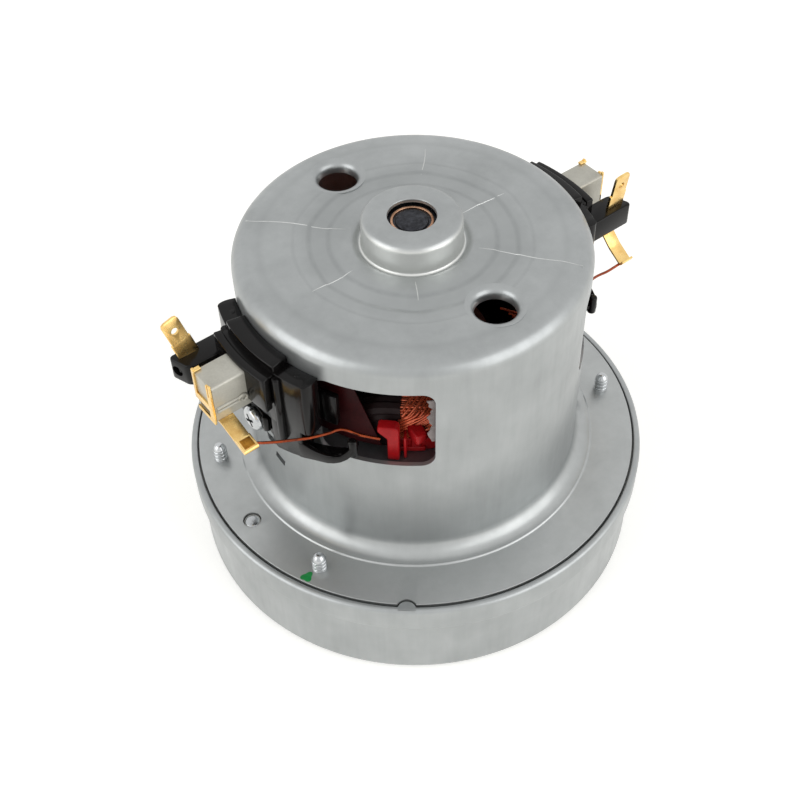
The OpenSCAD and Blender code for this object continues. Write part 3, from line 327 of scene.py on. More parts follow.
# Brushed-on lacquer dot
GREEN_LACQUER = Finish("brushed_green_lacquer", "#068a3e", "#04662c", 0.0, (0.25, 0.4), 1.5, grain=0.5,
                       bump=0.02, cloud=1.5)


def on_circle(radius: float, degrees: float, z: float) -> Point:
    """A point at a radius, angle and height about the shaft."""
    return radius * math.cos(math.radians(degrees)), radius * math.sin(math.radians(degrees)), z


def off_axis(at: Vector) -> float:
    """Angle of a point about the shaft from +X, either way, in degrees."""
    return abs(math.degrees(math.atan2(at.y, at.x)))


def arc_on(s: int, first: float, last: float, middle: float = 0.0) -> Span:
    """A pair of angles on one side of a middle, the lower one first."""
    low, high = sorted((middle + first * s, middle + last * s))
    return low, high


def within(value: float, low: float = 0.0, high: float = 1.0) -> float:
    """Holds a value between two limits."""
    return min(max(value, low), high)


def smooth_route(points: Sequence[Point], steps: int) -> list[Point]:
    """Draws a smooth curve through given points.

    Args:
        points: the points, in order.
        steps: stretches between each pair.

    Returns:
        The points of the curve.
    """
    route = []
    for i in range(len(points) - 1):
        a, b, c, d = (Vector(points[min(max(k, 0), len(points) - 1)]) for k in (i - 1, i, i + 1, i + 2))
        for k in range(steps):
            t = k / steps
            route.append(tuple(0.5 * (2 * b + (c - a) * t + (2 * a - 5 * b + 4 * c - d) * t ** 2
                                      + (3 * b - a - 3 * c + d) * t ** 3)))
    return route + [tuple(points[-1])]


def link(made: bpy.types.Object) -> bpy.types.Object:
    """Puts an object in the scene and returns it."""
    bpy.context.scene.collection.objects.link(made)
    return made


def evaluated(holder: bpy.types.Object) -> bpy.types.Mesh:
    """Makes a mesh of an object's curve or modifiers."""
    bpy.context.view_layer.update()
    return bpy.data.meshes.new_from_object(holder.evaluated_get(bpy.context.evaluated_depsgraph_get()))


def bevel(bm: bmesh.types.BMesh, geom: Sequence[Any], size: float, segments: int = 3, affect: str = "EDGES",
          clamp: bool = False) -> None:
    """Rounds edges or corners.

    Args:
        bm: the mesh.
        geom: its edges or vertices.
        size: the rounding.
        segments: faces across the rounding.
        affect: EDGES or VERTICES.
        clamp: whether two roundings stop where they meet.
    """
    bmesh.ops.bevel(bm, geom=geom, offset=size, offset_type="OFFSET", segments=segments, profile=0.5,
                    affect=affect, material=-1, clamp_overlap=clamp)


def soften_edges(bm: bmesh.types.BMesh, edge: float, above: float = SHARP_ANGLE) -> None:
    """Rounds the sharp edges of a mesh.

    Args:
        bm: the mesh.
        edge: the rounding.
        above: the angle in degrees between two faces from which their edge is sharp.
    """
    sharp = [e for e in bm.edges if len(e.link_faces) == 2 and e.calc_face_angle(0) > math.radians(above)]
    bevel(bm, sharp, edge, clamp=True)


def round_corners(bm: bmesh.types.BMesh, points: Sequence[bmesh.types.BMVert], corners: Sequence[Corner],
                  segments: int, most: int) -> None:
    """Rounds an outline's corners, the largest rounding first.

    Args:
        bm: the mesh that holds the outline.
        points: the outline's vertices.
        corners: two coordinates and the rounding at each of them.
        segments: faces across a rounding.
        most: faces across a large rounding.
    """
    for size in sorted({c[2] for c in corners if c[2] > 0}, reverse=True):
        group = [p for p, c in zip(points, corners) if c[2] == size]
        bevel(bm, group, size, most if size > LARGE_ROUNDING else segments, "VERTICES")


def drag(bm: bmesh.types.BMesh, grown: dict[str, Any], by: Sequence[float]) -> None:
    """Moves the vertices that an extrusion made."""
    fresh = [g for g in grown["geom"] if isinstance(g, bmesh.types.BMVert)]
    bmesh.ops.translate(bm, verts=fresh, vec=by)


class Solid:
    """A closed shape in millimetres, built up with bmesh operators."""

    def __init__(self) -> None:
        """Starts with no geometry."""
        self.bm = bmesh.new()

    def add(self, other: "Solid") -> "Solid":
        """Takes in another shape, which is used up, and returns this one."""
        return self._take(other.bm)

    def turned(self, corners: Sequence[Corner], steps: int = 192, about: Point = (0, 0, 0),
               closed: bool = True) -> "Solid":
        """Spins a rounded outline about an upright axis.

        Args:
            corners: radius, height and rounding at each corner.
            steps: faces round the axis.
            about: a point on the axis.
            closed: whether the outline closes on itself, or runs from axis to axis.

        Returns:
            This shape.
        """
        bm = bmesh.new()
        points = [bm.verts.new((r, 0, z)) for r, z, _ in corners]
        for a, b in zip(points, points[1:] + points[:1] if closed else points[1:]):
            bm.edges.new((a, b))
        round_corners(bm, points, corners, 4, 10)
        bmesh.ops.spin(bm, geom=bm.verts[:] + bm.edges[:], cent=(0, 0, 0), axis=(0, 0, 1), angle=math.tau,
                       steps=steps, use_merge=True)
        bmesh.ops.remove_doubles(bm, verts=bm.verts[:], dist=1e-4)
        bmesh.ops.recalc_face_normals(bm, faces=bm.faces[:])
        bmesh.ops.translate(bm, verts=bm.verts[:], vec=about)
        return self._take(bm)

    def sector(self, r: Span, z: Span, arc: Span, edge: float) -> "Solid":
        """Adds a block bent round the shaft, with softened edges.

        Args:
            r: inner and outer radius.
            z: lowest and highest level.
            arc: first and last angle in degrees.
            edge: the edges' rounding.

        Returns:
            This shape.
        """
        bm = bmesh.new()
        bmesh.ops.create_grid(bm, x_segments=1, y_segments=1, size=0.5)
        bmesh.ops.rotate(bm, verts=bm.verts[:], cent=(0, 0, 0), matrix=Matrix.Rotation(math.pi / 2, 3, "X"))
        bmesh.ops.scale(bm, verts=bm.verts[:], vec=(r[1] - r[0], 1, z[1] - z[0]))
        bmesh.ops.translate(bm, verts=bm.verts[:], vec=((r[0] + r[1]) / 2, 0, (z[0] + z[1]) / 2))
        start, sweep = Matrix.Rotation(math.radians(arc[0]), 3, "Z"), arc[1] - arc[0]
        bmesh.ops.rotate(bm, verts=bm.verts[:], cent=(0, 0, 0), matrix=start)
        bmesh.ops.spin(bm, geom=bm.verts[:] + bm.edges[:] + bm.faces[:], cent=(0, 0, 0), axis=(0, 0, 1),
                       angle=math.radians(sweep), steps=max(2, round(sweep / 2)))
        bmesh.ops.recalc_face_normals(bm, faces=bm.faces[:])
        return self._take(bm, edge)

    def block(self, low: Point, high: Point, edge: float) -> "Solid":
        """Adds a block with softened edges.

        Args:
            low: the lowest corner.
            high: the highest corner.
            edge: the edges' rounding.

        Returns:
            This shape.
        """
        bm = bmesh.new()
        bmesh.ops.create_cube(bm, size=1)
        bmesh.ops.scale(bm, verts=bm.verts[:], vec=[b - a for a, b in zip(low, high)])
        bmesh.ops.translate(bm, verts=bm.verts[:], vec=[(a + b) / 2 for a, b in zip(low, high)])
        return self._take(bm, edge)

    def plate(self, outline: Sequence[Corner], z: Span, edge: float) -> "Solid":
        """Adds a flat plate of any outline.

        Args:
            outline: X, Y and rounding at each corner, in order.
            z: its lowest and highest level.
            edge: the edges' rounding.

        Returns:
            This shape.
        """
        bm = bmesh.new()
        points = [bm.verts.new((x, y, z[0])) for x, y, _ in outline]
        bm.faces.new(points)
        round_corners(bm, points, outline, 6, 6)
        drag(bm, bmesh.ops.extrude_face_region(bm, geom=bm.faces[:]), (0, 0, z[1] - z[0]))
        bmesh.ops.recalc_face_normals(bm, faces=bm.faces[:])
        return self._take(bm, edge)

    def post(self, radius: float, start: Point, end: Point, edge: float, sides: int = 40) -> "Solid":
        """Adds a round post with softened ends.

        Args:
            radius: the post's radius.
            start: the middle of its first end.
            end: the middle of its last end.
            edge: the ends' rounding.
            sides: faces round it.

        Returns:
            This shape.
        """
        bm = bmesh.new()
        run = Vector(end) - Vector(start)
        bmesh.ops.create_cone(bm, cap_ends=True, segments=sides, radius1=radius, radius2=radius,
                              depth=run.length)
        middle = Matrix.Translation((Vector(start) + Vector(end)) / 2)
        lie = middle @ run.to_track_quat("Z", "Y").to_matrix().to_4x4()
        bmesh.ops.transform(bm, matrix=lie, verts=bm.verts[:])
        return self._take(bm, edge)

    def strip(self, path: Sequence[Corner], width: Span, thick: float, edge: float) -> "Solid":
        """Adds a folded strip of sheet that runs across X.

        Args:
            path: Y, Z and the fold's rounding at each corner of the sheet's middle.
            width: lowest and highest X.
            thick: the sheet's thickness.
            edge: the edges' rounding.

        Returns:
            This shape.
        """
        bm = bmesh.new()
        points = [bm.verts.new((width[0], y, z)) for y, z, _ in path]
        for a, b in zip(points, points[1:]):
            bm.edges.new((a, b))
        round_corners(bm, points, path, 4, 4)
        drag(bm, bmesh.ops.extrude_edge_only(bm, edges=bm.edges[:]), (width[1] - width[0], 0, 0))
        bmesh.ops.recalc_face_normals(bm, faces=bm.faces[:])
        bmesh.ops.solidify(bm, geom=bm.faces[:], thickness=thick)
        bmesh.ops.recalc_face_normals(bm, faces=bm.faces[:])
        return self._take(bm, edge)

    def frame(self, half: Span, corner: float, wall: float, x: Span) -> "Solid":
        """Adds a rounded rectangular tube along X.

        Args:
            half: half its width and half its height.
            corner: the outer corners' rounding.
            wall: its wall.
            x: where it starts and ends.

        Returns:
            This shape.
        """
        bm = bmesh.new()
        for inset, rounding in ((0.0, corner), (wall, max(corner - wall, 0.15))):
            made = bmesh.ops.create_grid(bm, x_segments=1, y_segments=1, size=1)["verts"]
            bmesh.ops.scale(bm, verts=made, vec=(half[0] - inset, half[1] - inset, 1))
            bevel(bm, made, rounding, 6, "VERTICES")
        loops = [e for f in bm.faces for e in f.edges]
        bmesh.ops.delete(bm, geom=bm.faces[:], context="FACES_ONLY")
        bmesh.ops.bridge_loops(bm, edges=loops)
        bmesh.ops.transform(bm, matrix=UPRIGHT, verts=bm.verts[:])
        bmesh.ops.translate(bm, verts=bm.verts[:], vec=(x[0], 0, 0))
        drag(bm, bmesh.ops.extrude_face_region(bm, geom=bm.faces[:]), (x[1] - x[0], 0, 0))
        bmesh.ops.recalc_face_normals(bm, faces=bm.faces[:])
        return self._take(bm)

    def wire(self, path: Sequence[Point], radius: float, sides: int = 8, looped: bool = False) -> "Solid":
        """Adds round wire along a path.

        Args:
            path: the points that the wire follows.
            radius: the wire's radius.
            sides: faces round the wire, a multiple of four.
            looped: whether the wire closes on itself.

        Returns:
            This shape.
        """
        curve = bpy.data.curves.new("route", "CURVE")
        curve.dimensions = "3D"
        curve.bevel_depth = radius
        curve.bevel_resolution = sides // 4
        curve.use_fill_caps = True
        spline = curve.splines.new("POLY")
        spline.points.add(len(path) - 1)
        spline.points.foreach_set("co", [c for p in path for c in (*p, 1.0)])
        spline.use_cyclic_u = looped
        holder = link(bpy.data.objects.new("route", curve))
        mesh = evaluated(holder)
        bm = bmesh.new()
        bm.from_mesh(mesh)
        bmesh.ops.remove_doubles(bm, verts=bm.verts[:], dist=1e-5)
        bpy.data.meshes.remove(mesh)
        bpy.data.objects.remove(holder)
        bpy.data.curves.remove(curve)
        return self._take(bm)

    def cut(self, tool: "Solid") -> "Solid":
        """Takes another shape away and joins this one's own shells.

        Args:
            tool: the shape to take away.

        Returns:
            This shape.
        """
        loans, pair = [], []
        for shape in (self, tool):
            loans.append(bpy.data.meshes.new("loan"))
            shape.bm.to_mesh(loans[-1])
            pair.append(link(bpy.data.objects.new("loan", loans[-1])))
        carve = pair[0].modifiers.new("carve", "BOOLEAN")
        carve.object, carve.operation, carve.solver, carve.use_self = pair[1], "DIFFERENCE", "EXACT", True
        loans.append(evaluated(pair[0]))
        self.bm.clear()
        self.bm.from_mesh(loans[-1])
        for holder in pair:
            bpy.data.objects.remove(holder)
        for loan in loans:
            bpy.data.meshes.remove(loan)
        return self

    def soften(self, edge: float, above: float = SHARP_ANGLE) -> "Solid":
        """Rounds the sharp edges and returns the shape."""
        soften_edges(self.bm, edge, above)
        return self

    def stand(self) -> "Solid":
        """Stands a flat shape up, facing outwards, and returns it."""
        bmesh.ops.transform(self.bm, matrix=UPRIGHT, verts=self.bm.verts[:])
        return self

    def turn(self, degrees: float, axis: str = "Z", about: Point = (0, 0, 0)) -> "Solid":
        """Turns the shape about an axis and returns it."""
        bmesh.ops.rotate(self.bm, verts=self.bm.verts[:], cent=about,
                         matrix=Matrix.Rotation(math.radians(degrees), 3, axis))
        return self

    def move(self, by: Point) -> "Solid":
        """Moves the shape and returns it."""
        bmesh.ops.translate(self.bm, verts=self.bm.verts[:], vec=by)
        return self

    def _take(self, bm: bmesh.types.BMesh, edge: float = 0.0) -> "Solid":
        """Softens a new shell's edges and takes it in.

        Args:
            bm: the shell, which is used up.
            edge: the edges' rounding, or none.

        Returns:
            This shape.
        """
        if edge:
            soften_edges(bm, edge)
        mesh = bpy.data.meshes.new("loan")
        bm.to_mesh(mesh)
        self.bm.from_mesh(mesh)
        bpy.data.meshes.remove(mesh)
        bm.free()
        return self

    def piece(self, name: str, finish: Finish, body: str, slot: str, nodes: Sequence[str] = ()
              ) -> bpy.types.Object:
        """Makes the shape an object in the frame.

        Args:
            name: the piece's name.
            finish: its material.
            body: the CAD body that it rides on.
            slot: the record's material slot; not used.
            nodes: the CAD nodes that it stands for.

        Returns:
            The object.
        """
        bmesh.ops.scale(self.bm, verts=self.bm.verts[:], vec=(MM, MM, MM))
        mesh = bpy.data.meshes.new(name)
        self.bm.to_mesh(mesh)
        self.bm.free()
        mesh.shade_smooth()
        mesh.set_sharp_from_angle(angle=math.radians(CRISP_ANGLE))
        mesh.materials.append(finish.make())
        made = link(bpy.data.objects.new(name, mesh))
        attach(made, body)
        if nodes:
            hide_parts(*nodes)
        LOG.info("%s: %d faces on %s", name, len(mesh.polygons), body)
        return made


@dataclass
class MotorCan:
    """The drawn can with its flange, hub, windows and vents."""

    radius: float = 45.6
    inside: float = 44.4
    top: float = 100.8
    ceiling: float = 98.8
    roof: float = 99.0
    rim_drop: float = 0.4
    flange: Span = (29.5, 30.7)
    flange_r: float = 62.6
    shoulder: Span = (29.85, 31.05)
    step_r: float = 50.9
    hub_r: float = 12.81
    hub_top: float = 107.8
    hub_hole: float = 6.15
    bore_r: float = 11.61
    bore_top: float = 106.6
    foot_drop: float = 1.2
    channel_d: float = 0.24
    channel: Span = (21.0, 27.2)
    lobed: Span = (18.0, 34.0)
    lobe_dir: float = 255.0
    lobe_pull: float = 0.022
    cusp_pull: float = 0.018
    # Radius, width and strength of the painted shade at each stamped ring
    rings: Sequence[Corner] = ((21.1, 0.9, 0.9), (26.0, 1.0, 0.9), (30.0, 0.6, 0.4), (38.6, 1.2, 0.4))
    creases: Sequence[Point] = (
        (131.5, 17.0, 43.0), (306.5, 17.0, 43.0), (357.0, 15.0, 29.0), (181.5, 19.0, 31.0),
        (46.0, 25.0, 36.0), (234.5, 16.5, 23.0))
    crease_half: float = 0.3
    crease_h: float = 0.07
    # Strength of the painted highlight on the hub wall and of the painted light on the flange
    hub_painted_sheen: float = 0.8
    flange_painted_sheen: float = 0.12
    cutter: Span = (40, 50)
    window: Span = (66.4, 92.0)
    window_corner: float = 3.4
    window_ang: float = 58.3
    pillar: Span = (18.0, 21.2)
    tongue: Span = (7.0, 74.3)
    screw_z: float = 69.0
    screw_hole: float = 1.6
    vent_pos: float = 31.7
    vent_cut: float = 7.2
    peg_pos: float = 56.7
    peg_hole: float = 2.5
    notch_r: float = 2.8
    notch_pos: Span = (63.8, 49.6)
    slits: Sequence[Point] = ((0.43, 48.9, -16.0), (-4.45, 53.7, 14.0))
    slit_half: Span = (1.95, 1.25)

    def build(self) -> None:
        """Builds the shell, cuts its openings and dresses it."""
        t, (under, over) = self.top, self.flange
        bed, rim, foot = (t - drop for drop in (self.channel_d, self.rim_drop, self.foot_drop))
        shell = Solid().turned([
            (self.hub_hole, self.hub_top, 0.3), (self.hub_r, self.hub_top, 2.0), (self.hub_r, foot, 0.7),
            (13.8, foot, 0.5), (14.9, t, 0.8), (20.6, t, 0.5), (21.6, bed, 0.4), (25.5, bed, 0.4),
            (26.5, t, 0.5), (29.6, t, 0.3), (30.0, t - 0.05, 0.3), (30.4, t, 0.3), (37.6, t, 0.9),
            (41.4, rim, 1.2), (self.radius, rim, 4.0), (self.radius, self.shoulder[1], 4.7),
            (self.step_r - 0.3, self.shoulder[1], 0.2), (self.step_r, over, 0.2), (self.flange_r, over, 0.12),
            (self.flange_r, under, 0.3), (self.step_r + 0.7, under, 0.2),
            (self.step_r + 0.4, self.shoulder[0], 0.2), (self.inside, self.shoulder[0], 5.7),
            (self.inside, self.ceiling, 2.8), (self.bore_r, self.ceiling, 0.6),
            (self.bore_r, self.bore_top, 0.5), (self.hub_hole, self.bore_top, 0.2)])
        for v in shell.bm.verts:
            grow = self._lobe(v.co) if v.co.z > self.roof else 1.0
            v.co.x, v.co.y = v.co.x * grow, v.co.y * grow
        shell.cut(self._openings())
        can = shell.piece("drawn_can", DRAWN_STEEL, "housing", "drawn_steel", ["motor_housing"])
        self._paint_light(can.data)
        collars, lines = Solid(), Solid()
        for s in SIDES:
            collars.turned([(5.2, 97.6, 0.15), (5.2, t + 0.01, 2.1), (7.5, t + 0.01, 0.04),
                            (7.5, t - 0.6, 0.04), (6.3, 97.6, 0.3)], 72, (0, s * self.vent_pos, 0))
        collars.piece("vent_collars", DRAWN_STEEL, "housing", "drawn_steel")
        for crease in self.creases:
            lines.add(self._crease(*crease))
        # The ridges' lighter steel is a painted highlight
        lines.piece("pressed_creases", RIDGE_HIGHLIGHT_STEEL, "housing", "drawn_steel")

    def _paint_light(self, mesh: bpy.types.Mesh) -> None:
        """Paints shade along the stamped rings on the top, and paints light on the hub wall and on the foot's
        fillet and flange.

        Args:
            mesh: the finished can.
        """
        ring_shade, shines = [], []
        for v in mesh.vertices:
            at = v.co / MM
            r, on_top = at.xy.length, at.z > self.roof
            on_hub = on_top and r < self.hub_r + 0.49
            flat = r / self._lobe(at)
            near = max(math.exp(-((flat - ring) / wide) ** 2) * depth for ring, wide, depth in self.rings)
            ring_shade.append(near if on_top else 0.0)
            hub = self.hub_painted_sheen * within(self.hub_top - 0.5 - at.z) if on_hub else 0.0
            foot = self.flange_painted_sheen if at.z < 36 and r > self.radius + 0.5 else 0.0
            shines.append(max(hub, foot))
        for name, values in (("painted_ring_shade", ring_shade), ("painted_sheen_share", shines)):
            mesh.attributes.new(name, "FLOAT", "POINT").data.foreach_set("value", values)

    def _lobe(self, at: Vector) -> float:
        """How far the press pulled the stamped rings out at a place on the top.

        Args:
            at: the place, in millimetres.

        Returns:
            The factor on the radius.
        """
        first, last = self.lobed
        if not first < at.xy.length < last:
            return 1.0
        turn = math.atan2(at.y, at.x)
        share = math.sin(math.pi * (at.xy.length - first) / (last - first))
        gaps = [(math.degrees(turn) - crease[0] + 180) % 360 - 180 for crease in self.creases]
        cusp = sum(math.exp(-gap ** 2 / 60) for gap in gaps)
        lean = math.cos(turn - math.radians(self.lobe_dir))
        return 1 + share * (self.lobe_pull * lean + self.cusp_pull * cusp)

    def _crease(self, degrees: float, near: float, far: float) -> Solid:
        """One pressed ridge, which dips where it crosses the channel.

        Args:
            degrees: its angle about the shaft.
            near: where it starts.
            far: where it ends.

        Returns:
            The ridge.
        """
        half, tall = self.crease_half, self.crease_h
        ridge = Solid().block((near, -half, self.top - 0.3), (far, half, self.top + tall), 0)
        long = [e for e in ridge.bm.edges if abs(e.verts[0].co.x - e.verts[1].co.x) > 2]
        bmesh.ops.subdivide_edges(ridge.bm, edges=long, cuts=48, use_grid_fill=True)
        for v in ridge.bm.verts:
            thin = 0.25 + 0.75 * max(0.0, math.sin(math.pi * (v.co.x - near) / (far - near))) ** 0.5
            if v.co.z > self.top:
                v.co.y *= 0.3
                v.co.z += tall * (thin - 1)
            v.co.y = v.co.y * thin + 0.25 * math.sin(v.co.x * 0.35)
            dip = within(min(v.co.x - self.channel[0], self.channel[1] - v.co.x))
            v.co.z -= self.channel_d * dip + self.rim_drop * within((v.co.x - 38.0) / 3.6)
        return ridge.turn(degrees)

    def _openings(self) -> Solid:
        """The windows, vents, peg holes, slits and stake notches.

        Returns:
            All of them as one cutter.
        """
        tool, (low, high), c, (wide, tall) = Solid(), self.window, self.window_corner, self.slit_half
        near, far = self.cutter
        half, step = self.tongue
        lean = math.degrees(c / self.radius)
        for turn in HALF_TURNS:
            tool.sector(self.cutter, (step, high), (turn - half, turn + half), 0)
            screw = Solid().post(self.screw_hole, (near, 0, self.screw_z), (far, 0, self.screw_z), 0, 24)
            tool.add(screw.turn(turn))
            for s in SIDES:
                tool.sector(self.cutter, (low, high), arc_on(s, half - 0.01, self.pillar[0], turn), 0)
                inner = arc_on(s, self.pillar[1] + lean, self.window_ang - lean, turn)
                outer = arc_on(s, self.pillar[1], self.window_ang, turn)
                tool.sector(self.cutter, (low, high), inner, 0)
                tool.sector(self.cutter, (low + c, high - c), outer, 0)
                for angle in inner:
                    for z in (low + c, high - c):
                        tool.post(c, on_circle(near, angle, z), on_circle(far, angle, z), 0, 48)
            for radius, (x, y, _), z, sides in (
                    (self.vent_cut, (0, self.vent_pos, 0), (95, 105), 64),
                    (self.peg_hole, (self.peg_pos, 0, 0), (28, 33), 40),
                    (self.notch_r, on_circle(*self.notch_pos, 0), (28, 33), 40)):
                tool.add(Solid().post(radius, (x, y, z[0]), (x, y, z[1]), 0, sides).turn(turn))
            for angle, z, tilt in self.slits:
                slit = Solid().block((self.radius - 3, -wide, z - tall), (far, wide, z + tall), 0)
                tool.add(slit.turn(tilt, "X", (0, 0, z)).turn(turn + angle))
        return tool


@dataclass
class FanCover:
    """The drawn cover below, with its widened rim, stakes and the lacquer dot."""

    wall_r: float = 63.8
    rim_r: float = 65.0
    top: float = 30.4
    rim_h: float = 8.6
    sheet: float = 1.2
    lip: float = 1.9
    inlet_r: float = 17.5
    inlet_lip: float = 2.0
    stake_dir: float = 49.6
    stake_r: float = 2.4
    stake_z: Span = (29.85, 30.38)
    dot_r: float = 1.6
    dot_pos: Point = (60.9, 203.8, 30.6)

    def build(self) -> None:
        """Builds the cover, its stakes and the lacquer dot."""
        low, s, top, lip = self.top - self.rim_h, self.sheet, self.top, self.rim_r - self.lip
        wall, rim, eye = self.wall_r, self.rim_r, self.inlet_r
        cover = Solid().turned([
            (eye, 0, 0.4), (wall, 0, 3.0), (wall, low - 0.4, 0.7), (rim, low + 0.8, 0.7), (rim, top, 1.2),
            (lip, top, 0.35), (lip, top - 1.8, 0.3), (rim - s, top - 2.6, 0.3), (rim - s, low + 1.6, 0.6),
            (wall - s, low + 0.4, 0.6), (wall - s, s, 1.8), (eye + s, s, 0.8),
            (eye + s, s + self.inlet_lip, 0.45), (eye, s + self.inlet_lip, 0.45)], 240)
        cover.piece("drawn_fan_cover", DRAWN_STEEL, "housing", "drawn_steel", ["fan_cover"])
        stakes, seat, r = Solid(), rim - s, self.stake_r
        turns = [math.radians(a) for a in range(0, 181, 12)]
        half = [(seat - r * math.sin(a), r * math.cos(a), 0) for a in turns]
        ends = [(seat + 0.7, -r, 0.3), (seat + 0.7, r, 0.3)]
        for turn in HALF_TURNS:
            stakes.add(Solid().plate(half + ends, self.stake_z, 0.12).turn(self.stake_dir + turn))
        stakes.piece("rim_stakes", DRAWN_STEEL, "housing", "drawn_steel")
        dot = Solid().post(self.dot_r, (0, 0, 0), (0, 0, 0.16), 0.1, 28)
        for v in dot.bm.verts:
            wave = 1 + 0.22 * math.sin(3 * math.atan2(v.co.y, v.co.x) + 0.6)
            v.co.x, v.co.y = v.co.x * wave, v.co.y * wave * 0.85
        dot.move(on_circle(*self.dot_pos))
        dot.piece("lacquer_dot", GREEN_LACQUER, "housing", "drawn_steel")


@dataclass
class Fasteners:
    """The flange's screws and the diffuser's peg heads."""

    screw_r: float = 2.0
    head_r: float = 3.6
    head_h: float = 2.6
    place_r: float = 56.7
    place_ang: float = 25.2
    tip: float = 36.3
    seat: float = 17.7
    thread_low: float = 29.6
    thread_d: float = 0.16
    pitch: float = 0.7
    steps: int = 16

    def build(self) -> None:
        """Builds the screws with rolled threads, and the peg heads."""
        screws, pegs = Solid(), Solid()
        core, below = self.screw_r - self.thread_d, self.seat - self.head_h
        count = round((self.tip - 1.7 - self.thread_low) / self.pitch * self.steps)
        for turn in HALF_TURNS:
            for s in (1, -1):
                at = on_circle(self.place_r, turn + s * self.place_ang, 0)
                screws.turned([(0, self.tip, 0), (0.9, self.tip - 0.12, 0.4), (core, self.tip - 1.4, 0.7),
                               (core, self.seat, 0.1), (self.head_r, self.seat, 0.2),
                               (self.head_r, below, 1.1), (0, below, 0)], 32, at, closed=False)
                thread = [Vector(at) + Vector(on_circle(core - 0.05, k * 360 / self.steps,
                                                        self.thread_low + self.pitch * k / self.steps))
                          for k in range(count)]
                screws.wire(thread, 0.2)
        screws.piece("flange_screws_rolled", BRIGHT_ZINC, "housing", "zinc_steel", ["flange_screws"])
        for s in SIDES:
            pegs.turned([(0, 30.45, 0), (1.5, 30.4, 0.5), (2.2, 30.0, 0.4), (2.2, 29.4, 0.05), (0, 29.4, 0)],
                        32, (s * self.place_r, 0, 0), closed=False)
        pegs.piece("peg_heads", BRIGHT_ZINC, "housing", "grey_plastic")


@dataclass
class Placed:
    """A sub-assembly that is built on +X and then turned to its place."""

    place: Side | Pole

    def _dress(self, shape: Solid, stem: str, finish: Finish, slot: str, node: str = "",
               body: str = "housing") -> bpy.types.Object:
        """Turns a shape to its place and makes it a piece.

        Args:
            shape: the shape on +X.
            stem: the piece's name before the place.
            finish: its material.
            slot: the record's material slot.
            node: the stem of the CAD node that it stands for, if any.
            body: the CAD body that it rides on.

        Returns:
            The object.
        """
        name = self.place.value
        nodes = [f"{node}_{name}"] if node else []
        return shape.turn(self.place.turn).piece(f"{stem}_{name}", finish, body, slot, nodes)


